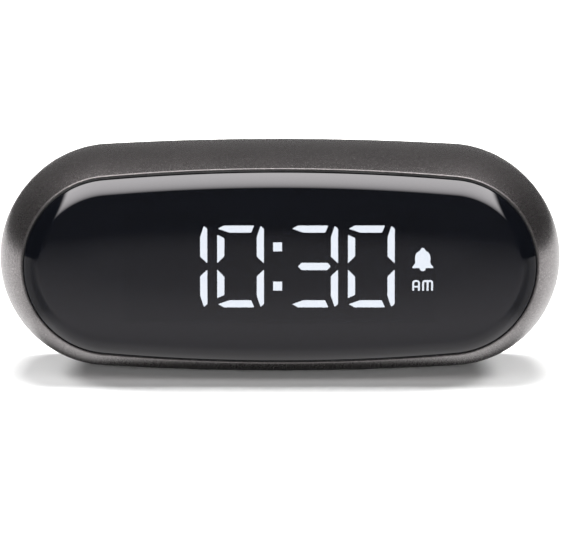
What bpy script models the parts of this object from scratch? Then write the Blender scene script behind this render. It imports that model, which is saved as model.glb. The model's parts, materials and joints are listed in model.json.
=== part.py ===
"""A compact bedside alarm clock, as the separate parts that it comes apart into. Metres, +Z up.

The clock faces -Y, and +X is on the right of someone who looks at its display. The origin lies on
the surface that the clock stands on, under the middle of its overall box.

Three lengths place everything: X, a depth behind the foremost point of the lens, and a height above
the middle of the casing. place() turns them into a point.
"""

import math

import bmesh
import bpy
from mathutils import Matrix, Vector

MM = 0.001

# Casing: a bowed stadium in front view, which swells behind its lip and rounds in at the back.
LIP_HALF_WIDTH = 40.35 * MM
LIP_HALF_HEIGHT = 15.27 * MM
LIP_BOW = 1.15 * MM
LIP_DEPTH = 2.9 * MM
SWELL_SIDE = 4.13 * MM
SWELL_TOP = 2.77 * MM
WIDEST_DEPTH = 16.5 * MM
WIDEST_BOW = 0.78 * MM
REAR_DEPTH = 38.0 * MM
REAR_TUCK_SIDE = 4.6 * MM
REAR_TUCK_TOP = 4.1 * MM
REAR_BOW = 0.5 * MM
REAR_ROUNDNESS = 2.5
WALL = 1.8 * MM
CROWN_SEGMENTS = 12
END_SEGMENTS = 24
HIDDEN_SEGMENTS = (4, 12)

# Whole object.
BUTTON_STAND = 0.6 * MM
OVERALL_DEPTH = REAR_DEPTH + BUTTON_STAND
FRONT_Y = -OVERALL_DEPTH / 2
PAD_STAND = 0.3 * MM
MIDDLE_Z = PAD_STAND + LIP_HALF_HEIGHT + SWELL_TOP

# Front opening and what sits in it.
POCKET_INSET = 0.35 * MM
LENS_INSET = 0.65 * MM
LEDGE_DEPTH = 6.2 * MM
LEDGE_THICKNESS = 1.5 * MM
LEDGE_INSET = 2.2 * MM
LENS_CROWN = 1.1 * MM
LENS_CROWN_INSET = 12.0 * MM
LENS_SHOULDER = 1.85 * MM
LENS_SHOULDER_WIDTH = 2.5 * MM
LENS_THICKNESS = 1.8 * MM
LENS_REAR = 3.95 * MM
LENS_FLANGE = 2.0 * MM
TAPE_DEPTHS = (4.05 * MM, 4.35 * MM)
FRAME_DEPTHS = (4.5 * MM, 5.9 * MM, 12.0 * MM)

# Display, from its front polariser to its reflector: half width, lowest, highest, near and far.
DISPLAY_SHEETS = (
    ("front_polariser", 25.0 * MM, -9.2 * MM, 9.2 * MM, 5.55 * MM, 5.75 * MM),
    ("front_glass", 26.0 * MM, -9.4 * MM, 9.6 * MM, 5.9 * MM, 6.6 * MM),
    ("rear_glass", 26.0 * MM, -11.0 * MM, 9.6 * MM, 6.7 * MM, 7.4 * MM),
    ("rear_polariser", 25.0 * MM, -9.2 * MM, 9.2 * MM, 7.5 * MM, 7.7 * MM),
    ("light_guide", 24.4 * MM, -9.2 * MM, 9.2 * MM, 8.0 * MM, 10.2 * MM),
    ("reflector", 24.4 * MM, -9.2 * MM, 9.2 * MM, 10.4 * MM, 10.6 * MM),
)
CAVITY_HALF_WIDTH = 26.4 * MM
CAVITY_LOW = -11.2 * MM
CAVITY_HIGH = 9.9 * MM
WINDOW_HALF_WIDTH = 24.4 * MM
WINDOW_HALF_HEIGHT = 8.8 * MM
WINDOW_WALL = 0.8 * MM

# Main board.
BOARD_DEPTHS = (12.3 * MM, 13.5 * MM)
BOARD_HALF_WIDTH = 37.4 * MM
BOARD_HALF_HEIGHT = 12.3 * MM
BOARD_BOW = 0.9 * MM
SEAT = 0.1 * MM
PILOT_RADIUS = 0.6 * MM
SCREW_CLEARANCE = 0.9 * MM
FRAME_SCREWS = tuple((x * MM, height * MM) for height in (5.5, -5.5) for x in (-32.0, 32.0))
CRYSTAL_RADIUS = 1.0 * MM
CRYSTAL_X = (-15.0 * MM, -9.0 * MM)
CRYSTAL_HEIGHT = -6.5 * MM
BUZZER_X = 22.5 * MM
BUZZER_HEIGHT = -2.0 * MM
BUZZER_RADIUS = 6.5 * MM
BUZZER_DEPTH = 5.2 * MM

# Rear opening, cover and battery tray.
OPENING_HALF_WIDTH = 38.3 * MM
OPENING_HALF_HEIGHT = 12.5 * MM
OPENING_BOW = 0.1 * MM
REAR_WALL = 1.7 * MM
FIT = 0.3 * MM
COVER_THICKNESS = 1.8 * MM
FLANGE_DEPTHS = (34.6 * MM, 36.2 * MM)
DOOR_EDGE_X = 21.0 * MM
DOOR_THICKNESS = 1.5 * MM
DOOR_SLIT_LENGTH = 6.5 * MM
DOOR_SLIT_HEIGHT = 4.2 * MM
DOOR_SLIT_HALF = 0.25 * MM
THUMB_RECESS = (2.6 * MM, 0.6 * MM, 3.0 * MM)
TRAY_X = (-31.0 * MM, 20.8 * MM)
TRAY_FLOOR = 24.2 * MM
TRAY_WALL = 0.9 * MM
BAY_X = (-30.0 * MM, 19.9 * MM)
BAY_HALF_HEIGHT = 10.95 * MM
BAY_CORNER = 3.0 * MM

# AAA cells.
CELL_RADIUS = 5.25 * MM
CELL_LENGTH = 44.5 * MM
CELL_DEPTH = 30.4 * MM
CELL_HEIGHT = 5.35 * MM
CONTACT_THICKNESS = 0.3 * MM
SPRING_WIRE = 0.25 * MM
SPRING_TURNS = 3
CONTACT_DEPTHS = (26.6 * MM, 34.2 * MM)
CONTACT_HEIGHTS = (1.6 * MM, 8.4 * MM)

# Controls on the right of the rear cover, seen from the front.
BUTTON_RADIUS = 2.3 * MM
BUTTON_FLANGE = 2.75 * MM
BUTTON_FLANGE_DEPTH = 0.8 * MM
BUTTON_STEM = 1.2 * MM
BUTTON_EDGE = 0.35 * MM
BUTTONS = (
    ("time_set", 25.2 * MM, 3.4 * MM),
    ("alarm_set", 31.0 * MM, 3.4 * MM),
    ("up", 25.2 * MM, -3.4 * MM),
    ("down", 31.0 * MM, -3.4 * MM),
)
TACT_HEIGHT = 2.2 * MM
TACT_HALF = 2.1 * MM
TACT_WELL_RADIUS = 1.2 * MM
TACT_WELL_DEPTH = 1.3 * MM
PLUNGER_RADIUS = 0.95 * MM
PLUNGER_LENGTH = 1.3 * MM
PLUNGER_SUNK = 0.6 * MM
KEY_BOARD_X = (21.6 * MM, 33.9 * MM)
KEY_BOARD_HEIGHTS = (-9.6 * MM, 9.9 * MM)
KEY_BOARD_DEPTHS = (30.0 * MM, 31.0 * MM)
SWITCH_X = 28.0 * MM
SWITCH_HEIGHT = 8.5 * MM
SWITCH_TRAVEL = 2.0 * MM
SWITCH_CASE = (4.3 * MM, 3.3 * MM, 1.6 * MM)
LEVER_HALF = (1.1 * MM, 0.7 * MM)
LEVER_STAND = 0.3 * MM
LEVER_REACH = 1.2 * MM
GRILLE_X = 27.0 * MM
GRILLE_HEIGHT = -8.6 * MM
GRILLE_HOLES = 5
GRILLE_PITCH = 1.6 * MM
GRILLE_RADIUS = 0.45 * MM

# Cover screws: side, x, depth of the tower's top, and depth of the face that the head is sunk in.
COVER_SCREWS = (
    ("left", -35.2 * MM, 34.3 * MM, 36.2 * MM),
    ("right", 36.1 * MM, 35.9 * MM, 38.0 * MM),
)
SCREW_SINK = 0.9 * MM
SCREW_SINK_RADIUS = 1.65 * MM
TOWER_REACH = 1.5 * MM
TOWER_OUTER_X = 42.5 * MM
TOWER_START = 30.6 * MM
TOWER_HALF_HEIGHT = 1.9 * MM
KEY_POSTS = ((28.1 * MM, 0.0), (33.0 * MM, -7.6 * MM))
KEY_POST_RADIUS = 1.2 * MM

# Base pad, set into the underside.
PAD_HALF_LENGTH = 16.5 * MM
PAD_DEPTHS = (16.8 * MM, 29.6 * MM)
PAD_THICKNESS = 1.0 * MM
PAD_RECESS = 1.3 * MM
PAD_CORNER = 4.0 * MM

# Touch pad under the roof, and the leads.
TOUCH_HALF_WIDTH = 14.0 * MM
TOUCH_DEPTHS = (16.0 * MM, 23.0 * MM)
TOUCH_THICKNESS = 0.2 * MM
LEAD_CLEARANCE = 0.6 * MM


def clear_scene():
    for item in list(bpy.data.objects):
        bpy.data.objects.remove(item, do_unlink=True)


def place(x, depth, height):
    return Vector((x, FRONT_Y + depth, MIDDLE_Z + height))


def material(name, colour, roughness, metallic=0.0):
    made = bpy.data.materials.new(name)
    made.use_nodes = True
    shader = made.node_tree.nodes["Principled BSDF"]
    shader.inputs["Base Color"].default_value = (*colour, 1.0)
    shader.inputs["Roughness"].default_value = roughness
    shader.inputs["Metallic"].default_value = metallic
    made.diffuse_color = (*colour, 1.0)
    return made


# Outlines


def bowed_stadium(half_width, half_height, bow, segments=(CROWN_SEGMENTS, END_SEGMENTS)):
    """(x, height) points round a stadium whose long sides bow outwards, from the top left, clockwise."""
    end_radius = half_height - bow
    end_x = half_width - end_radius
    crown_radius = (end_x**2 + half_height**2 - end_radius**2) / (2 * bow)
    turn = math.atan2(end_x, crown_radius - half_height)
    crown_steps, end_steps = segments
    right = []
    for i in range(crown_steps):
        angle = turn * (2 * i / crown_steps - 1)
        top = half_height - crown_radius * (1 - math.cos(angle))
        right.append((crown_radius * math.sin(angle), top))
    for i in range(end_steps):
        angle = turn + (math.pi - 2 * turn) * i / end_steps
        right.append((end_x + end_radius * math.sin(angle), end_radius * math.cos(angle)))
    return right + [(-x, -height) for x, height in right]


def ring(half_width, half_height, bow, depth, segments=(CROWN_SEGMENTS, END_SEGMENTS)):
    return [place(x, depth, height) for x, height in bowed_stadium(half_width, half_height, bow, segments)]


def swell(depth, front, rear):
    """How far the casing stands out from its lip at this depth."""
    if depth <= WIDEST_DEPTH:
        share = (depth - LIP_DEPTH) / (WIDEST_DEPTH - LIP_DEPTH)
        return front * (1 - (1 - share) ** 2)
    share = (depth - WIDEST_DEPTH) / (REAR_DEPTH - WIDEST_DEPTH)
    return front - rear * (1 - (1 - share**REAR_ROUNDNESS) ** (1 / REAR_ROUNDNESS))


def casing_bow(depth):
    if depth <= WIDEST_DEPTH:
        share = (depth - LIP_DEPTH) / (WIDEST_DEPTH - LIP_DEPTH)
        return LIP_BOW + (WIDEST_BOW - LIP_BOW) * (1 - (1 - share) ** 2)
    share = (depth - WIDEST_DEPTH) / (REAR_DEPTH - WIDEST_DEPTH)
    return WIDEST_BOW + (REAR_BOW - WIDEST_BOW) * share**4


def casing_ring(depth, inset=0.0):
    half_width = LIP_HALF_WIDTH + swell(depth, SWELL_SIDE, REAR_TUCK_SIDE) - inset
    half_height = LIP_HALF_HEIGHT + swell(depth, SWELL_TOP, REAR_TUCK_TOP) - inset
    return ring(half_width, half_height, casing_bow(depth), depth)


def lip_ring(depth, inset, segments=(CROWN_SEGMENTS, END_SEGMENTS)):
    """The lip's outline moved inwards, for everything in the front opening."""
    return ring(LIP_HALF_WIDTH - inset, LIP_HALF_HEIGHT - inset, LIP_BOW, depth, segments)


# Solids


def finish(name, bm, surface, origin=(0.0, 0.0, 0.0)):
    """One object from this mesh, with its origin at the point given."""
    bmesh.ops.recalc_face_normals(bm, faces=bm.faces)
    if bm.calc_volume(signed=True) < 0:
        bmesh.ops.reverse_faces(bm, faces=bm.faces)
    bmesh.ops.translate(bm, verts=bm.verts, vec=-Vector(origin))
    mesh = bpy.data.meshes.new(name)
    bm.to_mesh(mesh)
    bm.free()
    made = bpy.data.objects.new(name, mesh)
    made.location = origin
    bpy.context.collection.objects.link(made)
    if surface:
        mesh.materials.append(surface)
        mesh.shade_smooth()
        mesh.set_sharp_from_angle(angle=math.radians(35))
    return made


def helper(name, bm):
    """A cutter, or a shape that is joined to another. It isn't a part."""
    made = finish(name, bm, None)
    made.hide_render = True
    made.display_type = "WIRE"
    return made


def loft(rings, hollow=False):
    """A skin drawn from ring to ring. A hollow one returns to its first ring, and a solid one has ends."""
    bm = bmesh.new()
    station = bm.verts.layers.int.new("station")
    verts = [bm.verts.new(point) for point in rings[0]]
    for i, vert in enumerate(verts):
        vert[station] = i
    loop = [bm.edges.new((verts[i - 1], verts[i])) for i in range(len(verts))]
    if not hollow:
        bmesh.ops.contextual_create(bm, geom=loop)
    for points in rings[1:] + rings[:1] * hollow:
        drawn = bmesh.ops.extrude_edge_only(bm, edges=loop)["geom"]
        loop = [item for item in drawn if isinstance(item, bmesh.types.BMEdge)]
        for vert in drawn:
            if isinstance(vert, bmesh.types.BMVert):
                vert.co = points[vert[station]]
    if hollow:
        bmesh.ops.remove_doubles(bm, verts=bm.verts, dist=1e-7)
    else:
        bmesh.ops.contextual_create(bm, geom=loop)
    return bm


def add_box(bm, low, high, bevel=0.0, bevel_axis=None):
    """A box between two corners. bevel rounds its edges along bevel_axis, or all of them."""
    size = Vector(high) - Vector(low)
    middle = (Vector(high) + Vector(low)) / 2
    place_it = Matrix.Translation(middle) @ Matrix.Diagonal((*size, 1.0))
    made = bmesh.ops.create_cube(bm, size=1.0, matrix=place_it)
    if bevel:
        edges = {edge for vert in made["verts"] for edge in vert.link_edges}
        if bevel_axis is not None:
            edges = {e for e in edges if abs((e.verts[0].co - e.verts[1].co)[bevel_axis]) > 1e-7}
        bmesh.ops.bevel(
            bm, geom=list(edges), offset=bevel, affect="EDGES", segments=3, profile=0.5, material=-1
        )
    return bm


def add_rod(bm, radius, start, end, segments=16):
    """A round bar from one point to another."""
    along = Vector(end) - Vector(start)
    turn = along.to_track_quat("Z", "Y").to_matrix().to_4x4()
    place_it = Matrix.Translation((Vector(start) + Vector(end)) / 2) @ turn
    bmesh.ops.create_cone(
        bm,
        cap_ends=True,
        segments=segments,
        radius1=radius,
        radius2=radius,
        depth=along.length,
        matrix=place_it,
    )
    return bm


def add_bore(bm, radius, x, height, near, far, segments=12):
    """A round bar along the clock's depth, which cuts a hole or stands as a post."""
    return add_rod(bm, radius, place(x, near, height), place(x, far, height), segments)


def block(name, low, high, surface, bevel=0.0, bevel_axis=None):
    middle = (Vector(low) + Vector(high)) / 2
    return finish(name, add_box(bmesh.new(), low, high, bevel, bevel_axis), surface, middle)


def turned(profile, steps=16):
    """A turned solid about local Z, from (radius, height) points that start and end on the axis."""
    bm = bmesh.new()
    verts = [bm.verts.new((radius, 0.0, height)) for radius, height in profile]
    edges = [bm.edges.new(pair) for pair in zip(verts, verts[1:])]
    bmesh.ops.spin(
        bm,
        geom=verts + edges,
        cent=(0, 0, 0),
        axis=(0, 0, 1),
        angle=math.tau,
        steps=steps,
        use_merge=True,
    )
    bmesh.ops.remove_doubles(bm, verts=bm.verts, dist=1e-6)
    return bm


def turned_part(name, profile, surface, origin, axis, steps=16):
    """A turned part whose local Z points along axis, with its origin on that axis."""
    bm = turned(profile, steps)
    turn = Vector(axis).to_track_quat("Z", "Y").to_matrix().to_4x4()
    bmesh.ops.transform(bm, matrix=Matrix.Translation(origin) @ turn, verts=bm.verts)
    return finish(name, bm, surface, origin)


def boolean(target, other, operation):
    modifier = target.modifiers.new(other.name, "BOOLEAN")
    modifier.operation = operation
    modifier.object = other
    modifier.solver = "EXACT"


def tube(name, points, radius, surface, resolution=1):
    """A wire along these points."""
    curve = bpy.data.curves.new(name, "CURVE")
    curve.dimensions = "3D"
    curve.bevel_depth = radius
    curve.bevel_resolution = resolution
    curve.use_fill_caps = True
    spline = curve.splines.new("POLY")
    spline.points.add(len(points) - 1)
    for target, point in zip(spline.points, points):
        target.co = (*point, 1.0)
    curve.materials.append(surface)
    made = bpy.data.objects.new(name, curve)
    bpy.context.collection.objects.link(made)
    return made


def smooth_route(ends, count):
    """Points along a cubic curve with four control points."""
    a, b, c, d = (Vector(end) for end in ends)
    route = []
    for i in range(count):
        t = i / (count - 1)
        u = 1 - t
        route.append(a * u**3 + b * 3 * u * u * t + c * 3 * u * t * t + d * t**3)
    return route


# Casing


def make_housing(surface):
    """The one-piece sleeve: lip, lens pocket, ledge, swollen wall and rear opening."""
    outside = (4.2, 6.0, 8.5, 12.0, 16.5, 22.0, 27.0, 31.0, 34.0, 36.0, 37.3, 37.9)
    inside = (33.0, 27.0, 18.0, 12.0)
    ledge_back = LEDGE_DEPTH + LEDGE_THICKNESS
    rear_inner = REAR_DEPTH - REAR_WALL
    rings = [
        lip_ring(ledge_back, LEDGE_INSET),
        lip_ring(LEDGE_DEPTH, LEDGE_INSET),
        lip_ring(LEDGE_DEPTH, POCKET_INSET),
        lip_ring(LIP_DEPTH + 0.25 * MM, POCKET_INSET),
        lip_ring(LIP_DEPTH, POCKET_INSET - 0.15 * MM),
        lip_ring(LIP_DEPTH + 0.1 * MM, 0.0),
    ]
    rings += [casing_ring(depth * MM) for depth in outside]
    rings += [
        ring(
            LIP_HALF_WIDTH + SWELL_SIDE - REAR_TUCK_SIDE,
            LIP_HALF_HEIGHT + SWELL_TOP - REAR_TUCK_TOP,
            REAR_BOW,
            REAR_DEPTH,
        ),
        ring(OPENING_HALF_WIDTH, OPENING_HALF_HEIGHT, OPENING_BOW, REAR_DEPTH),
        ring(OPENING_HALF_WIDTH, OPENING_HALF_HEIGHT, OPENING_BOW, rear_inner),
        casing_ring(rear_inner, WALL),
    ]
    rings += [casing_ring(depth * MM, WALL) for depth in inside]
    rings.append(casing_ring(ledge_back, WALL))
    housing = finish("housing", loft(rings, hollow=True), surface)

    towers = bmesh.new()
    for _, x, top, _ in COVER_SCREWS:
        outward = 1 if x > 0 else -1
        sides = sorted((x - outward * TOWER_REACH, outward * TOWER_OUTER_X))
        low = place(sides[0], TOWER_START, -TOWER_HALF_HEIGHT)
        add_box(towers, low, place(sides[1], top, TOWER_HALF_HEIGHT))
    boolean(housing, helper("screw_towers", towers), "UNION")

    pockets = bmesh.new()
    for _, x, top, _ in COVER_SCREWS:
        add_bore(pockets, PILOT_RADIUS, x, 0, TOWER_START + 0.6 * MM, top + MM)
    add_pad_shape(pockets, FIT, -MM, PAD_RECESS)
    boolean(housing, helper("housing_cuts", pockets), "DIFFERENCE")
    return housing


def add_pad_shape(bm, grow, low_z, high_z):
    """The base pad's rounded outline between two heights above the standing surface."""
    reach = PAD_HALF_LENGTH + grow
    near = FRONT_Y + PAD_DEPTHS[0] - grow
    far = FRONT_Y + PAD_DEPTHS[1] + grow
    add_box(bm, (-reach, near, low_z), (reach, far, high_z), PAD_CORNER, 2)


def make_base_pad(surface):
    pad = bmesh.new()
    add_pad_shape(pad, 0.0, 0.0, PAD_THICKNESS)
    return finish("base_pad", pad, surface, (0, FRONT_Y + sum(PAD_DEPTHS) / 2, 0))


# Front


def lens_face(inset):
    """Depth of the lens's outer face at this distance in from its edge."""
    crown = LENS_CROWN * (1 - inset / LENS_CROWN_INSET) ** 2
    if inset >= LENS_SHOULDER_WIDTH:
        return crown
    share = 1 - inset / LENS_SHOULDER_WIDTH
    return crown + LENS_SHOULDER * (1 - math.sqrt(1 - share**2))


def make_front_lens(surface):
    """The smoked window: a domed shell with a flat flange behind its edge."""
    flange_inset = LENS_INSET + LENS_FLANGE
    rings = []
    for inset in (LENS_CROWN_INSET, 6.0 * MM, 3.4 * MM):
        rings.append(lip_ring(lens_face(inset) + LENS_THICKNESS, LENS_INSET + inset))
    rings.append(lip_ring(LENS_REAR - 0.5 * MM, flange_inset))
    rings.append(lip_ring(LENS_REAR, flange_inset))
    rings.append(lip_ring(LENS_REAR, LENS_INSET))
    for inset in (0.0, 0.3 * MM, 0.8 * MM, 1.5 * MM, 2.5 * MM, 6.0 * MM, LENS_CROWN_INSET):
        rings.append(lip_ring(lens_face(inset), LENS_INSET + inset))
    return finish("front_lens", loft(rings), surface)


def make_lens_tape(surface):
    near, far = TAPE_DEPTHS
    outer = LENS_INSET + 0.3 * MM
    inner = LENS_INSET + 1.7 * MM
    corners = ((near, inner), (near, outer), (far, outer), (far, inner))
    rings = [lip_ring(depth, inset, HIDDEN_SEGMENTS) for depth, inset in corners]
    return finish("lens_tape", loft(rings, hollow=True), surface)


def make_display_frame(surface):
    """The carrier behind the lens: its flange rests on the ledge, and it holds the display."""
    front, flange_back, back = FRAME_DEPTHS
    flange_inset = POCKET_INSET + FIT
    body_inset = LEDGE_INSET + FIT
    corners = (
        (front, flange_inset),
        (flange_back, flange_inset),
        (flange_back, body_inset),
        (back, body_inset),
    )
    rings = [lip_ring(depth, inset, HIDDEN_SEGMENTS) for depth, inset in corners]
    frame = finish("display_frame", loft(rings), surface)
    cuts = bmesh.new()
    seat = front + WINDOW_WALL
    add_box(
        cuts,
        place(-CAVITY_HALF_WIDTH, seat, CAVITY_LOW),
        place(CAVITY_HALF_WIDTH, back + MM, CAVITY_HIGH),
    )
    for x, height in FRAME_SCREWS:
        add_bore(cuts, PILOT_RADIUS, x, height, back - 5 * MM, back + MM)
    boolean(frame, helper("frame_cavity", cuts), "DIFFERENCE")
    window = bmesh.new()
    add_box(
        window,
        place(-WINDOW_HALF_WIDTH, front - MM, -WINDOW_HALF_HEIGHT),
        place(WINDOW_HALF_WIDTH, seat + MM, WINDOW_HALF_HEIGHT),
    )
    boolean(frame, helper("frame_window", window), "DIFFERENCE")
    return frame


def make_display(surfaces):
    for name, half_width, low, high, near, far in DISPLAY_SHEETS:
        block(name, place(-half_width, near, low), place(half_width, far, high), surfaces[name])
    block(
        "zebra_strip",
        place(-23 * MM, 7.7 * MM, -10.9 * MM),
        place(23 * MM, BOARD_DEPTHS[0] - SEAT, -9.8 * MM),
        surfaces["zebra_strip"],
    )
    for side, name in ((-1, "backlight_led_left"), (1, "backlight_led_right")):
        near_x = side * 24.7 * MM
        far_x = side * 26.1 * MM
        block(
            name,
            place(min(near_x, far_x), 8.2 * MM, -1.4 * MM),
            place(max(near_x, far_x), BOARD_DEPTHS[0] - SEAT, 1.4 * MM),
            surfaces["backlight_led"],
        )


# Main board


def screw_profile(head_radius, head_height, shaft_radius, length):
    """A pan head on a plain shaft. Local Z runs out of the head."""
    return (
        (0, -length),
        (shaft_radius * 0.5, -length),
        (shaft_radius, -length + shaft_radius),
        (shaft_radius, 0),
        (head_radius, 0),
        (head_radius, head_height * 0.45),
        (head_radius * 0.72, head_height),
        (0, head_height),
    )


def make_main_board(surfaces):
    near, far = BOARD_DEPTHS
    rings = [
        ring(BOARD_HALF_WIDTH, BOARD_HALF_HEIGHT, BOARD_BOW, depth, HIDDEN_SEGMENTS) for depth in (near, far)
    ]
    board = finish("main_board", loft(rings), surfaces["board"])
    holes = bmesh.new()
    for x, height in FRAME_SCREWS:
        add_bore(holes, SCREW_CLEARANCE, x, height, near - MM, far + MM)
    boolean(board, helper("board_holes", holes), "DIFFERENCE")
    for number, (x, height) in enumerate(FRAME_SCREWS, 1):
        turned_part(
            f"frame_screw_{number}",
            screw_profile(1.5 * MM, 0.9 * MM, 0.5 * MM, 5.0 * MM),
            surfaces["screw"],
            place(x, far + SEAT, height),
            (0, 1, 0),
            12,
        )
    on_board = far + SEAT
    block(
        "controller_chip",
        place(-16 * MM, on_board, -1 * MM),
        place(-8 * MM, on_board + 1.3 * MM, 7 * MM),
        surfaces["chip"],
    )
    crystal_depth = on_board + CRYSTAL_RADIUS + SEAT
    start, end = (place(x, crystal_depth, CRYSTAL_HEIGHT) for x in CRYSTAL_X)
    bm = add_rod(bmesh.new(), CRYSTAL_RADIUS, start, end, 12)
    finish("timing_crystal", bm, surfaces["can"], (start + end) / 2)
    turned_part(
        "reservoir_capacitor",
        ((0, 0), (2.5 * MM, 0), (2.5 * MM, 6.6 * MM), (2.1 * MM, 7.0 * MM), (0, 7.0 * MM)),
        surfaces["can"],
        place(-25 * MM, on_board, -4 * MM),
        (0, 1, 0),
    )
    make_buzzer(surfaces, on_board)


def make_buzzer(surfaces, on_board):
    """A shallow round can, open through the sound hole in its lid, with the piezo disc inside."""
    wall, hole = 0.7 * MM, 1.2 * MM
    inner = BUZZER_RADIUS - wall
    profile = (
        (0, 0),
        (BUZZER_RADIUS, 0),
        (BUZZER_RADIUS, BUZZER_DEPTH),
        (hole, BUZZER_DEPTH),
        (hole, BUZZER_DEPTH - wall),
        (inner, BUZZER_DEPTH - wall),
        (inner, wall),
        (0, wall),
    )
    centre = place(BUZZER_X, on_board, BUZZER_HEIGHT)
    turned_part("buzzer_case", profile, surfaces["chip"], centre, (0, 1, 0), 20)
    disc_radius, disc_thickness = inner - 0.4 * MM, 0.3 * MM
    disc = ((0, 0), (disc_radius, 0), (disc_radius, disc_thickness), (0, disc_thickness))
    above_floor = Vector((0, wall + 0.9 * MM, 0))
    turned_part("piezo_disc", disc, surfaces["brass"], centre + above_floor, (0, 1, 0), 20)


# Rear cover, tray and door


def cover_ring(depth, inset=0.0):
    return ring(OPENING_HALF_WIDTH - FIT - inset, OPENING_HALF_HEIGHT - FIT - inset, OPENING_BOW, depth)


def clip_beyond(bm, x, keep_left=True):
    """Cuts the closed mesh with the plane at x, and fills the cut."""
    cut = bmesh.ops.bisect_plane(
        bm,
        geom=bm.verts[:] + bm.edges[:] + bm.faces[:],
        plane_co=(x, 0, 0),
        plane_no=(1, 0, 0),
        clear_outer=keep_left,
        clear_inner=not keep_left,
    )
    rim = [item for item in cut["geom_cut"] if isinstance(item, bmesh.types.BMEdge)]
    bmesh.ops.contextual_create(bm, geom=rim)
    return bm


def make_rear_cover(surface):
    """Control plate on the right, sunken flange round the battery bay on the left, and the tray."""
    flange_near, flange_far = FLANGE_DEPTHS
    plate_near = REAR_DEPTH - COVER_THICKNESS
    cover = finish("rear_cover", loft([cover_ring(flange_near), cover_ring(REAR_DEPTH)]), surface)

    steps = bmesh.new()
    seat_x = DOOR_EDGE_X + FIT
    edge = OPENING_HALF_WIDTH + MM
    tall = OPENING_HALF_HEIGHT + MM
    add_box(steps, place(-edge, flange_far, -tall), place(seat_x, REAR_DEPTH + MM, tall))
    add_box(steps, place(seat_x + MM, flange_near - MM, -tall), place(edge, plate_near, tall))
    boolean(cover, helper("cover_steps", steps), "DIFFERENCE")

    tray = loft([cover_ring(TRAY_FLOOR, FIT), cover_ring(flange_near + 0.5 * MM, FIT)])
    clip_beyond(tray, TRAY_X[0], keep_left=False)
    clip_beyond(tray, TRAY_X[1], keep_left=True)
    boolean(cover, helper("tray_block", tray), "UNION")

    posts = bmesh.new()
    for x, height in KEY_POSTS:
        add_bore(posts, KEY_POST_RADIUS, x, height, KEY_BOARD_DEPTHS[1] + SEAT, plate_near + 0.5 * MM)
    boolean(cover, helper("key_posts", posts), "UNION")

    cuts = bmesh.new()
    bay_floor = TRAY_FLOOR + TRAY_WALL
    add_box(
        cuts,
        place(BAY_X[0], bay_floor, -BAY_HALF_HEIGHT),
        place(BAY_X[1], REAR_DEPTH + 2 * MM, BAY_HALF_HEIGHT),
        BAY_CORNER,
        1,
    )
    for _, x, height in BUTTONS:
        add_bore(cuts, BUTTON_RADIUS + 0.2 * MM, x, height, plate_near - MM, REAR_DEPTH + MM, 24)
    slot_half_x = SWITCH_TRAVEL / 2 + LEVER_HALF[0] + FIT
    slot_half_z = LEVER_HALF[1] + 0.5 * MM
    add_box(
        cuts,
        place(SWITCH_X - slot_half_x, plate_near - MM, SWITCH_HEIGHT - slot_half_z),
        place(SWITCH_X + slot_half_x, REAR_DEPTH + MM, SWITCH_HEIGHT + slot_half_z),
        0.5 * MM,
        1,
    )
    for i in range(GRILLE_HOLES):
        x = GRILLE_X + (i - (GRILLE_HOLES - 1) / 2) * GRILLE_PITCH
        add_bore(cuts, GRILLE_RADIUS, x, GRILLE_HEIGHT, plate_near - MM, REAR_DEPTH + MM, 10)
    for _, x, _, face in COVER_SCREWS:
        add_bore(cuts, SCREW_SINK_RADIUS, x, 0, face - SCREW_SINK, face + 3 * MM, 20)
    boolean(cover, helper("cover_cuts", cuts), "DIFFERENCE")

    bores = bmesh.new()
    for _, x, _, face in COVER_SCREWS:
        add_bore(bores, SCREW_CLEARANCE, x, 0, face - 4 * MM, face)
    for x, height in KEY_POSTS:
        add_bore(bores, PILOT_RADIUS, x, height, KEY_BOARD_DEPTHS[1] - MM, plate_near - 0.6 * MM)
    boolean(cover, helper("cover_bores", bores), "DIFFERENCE")
    return cover


def make_battery_door(surface):
    """The flush lid over the bay, with a sprung thumb tab between two slits."""
    near = REAR_DEPTH - DOOR_THICKNESS
    plate = loft([cover_ring(near), cover_ring(REAR_DEPTH)])
    clip_beyond(plate, DOOR_EDGE_X, keep_left=True)
    door = finish("battery_door", plate, surface, place(0, (near + REAR_DEPTH) / 2, 0))
    cuts = bmesh.new()
    for height in (-DOOR_SLIT_HEIGHT, DOOR_SLIT_HEIGHT):
        low = place(DOOR_EDGE_X - DOOR_SLIT_LENGTH, near - MM, height - DOOR_SLIT_HALF)
        add_box(cuts, low, place(DOOR_EDGE_X + MM, REAR_DEPTH + MM, height + DOOR_SLIT_HALF))
    reach, sunk, half_height = THUMB_RECESS
    low = place(DOOR_EDGE_X - reach, REAR_DEPTH - sunk, -half_height)
    add_box(cuts, low, place(DOOR_EDGE_X + MM, REAR_DEPTH + MM, half_height))
    boolean(door, helper("door_cuts", cuts), "DIFFERENCE")
    return door


def make_cover_screws(surface):
    for side, x, _, face in COVER_SCREWS:
        turned_part(
            f"cover_screw_{side}",
            screw_profile(1.4 * MM, 0.7 * MM, 0.5 * MM, 4.0 * MM),
            surface,
            place(x, face - SCREW_SINK + SEAT, 0),
            (0, 1, 0),
        )


# Battery cells and contacts


def cell_profile():
    nub = 0.8 * MM
    can = CELL_LENGTH - nub
    return (
        (0, 0),
        (4.6 * MM, 0),
        (CELL_RADIUS, 0.5 * MM),
        (CELL_RADIUS, can - 0.4 * MM),
        (4.8 * MM, can),
        (1.9 * MM, can),
        (1.9 * MM, CELL_LENGTH - 0.1 * MM),
        (1.6 * MM, CELL_LENGTH),
        (0, CELL_LENGTH),
    )


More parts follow.
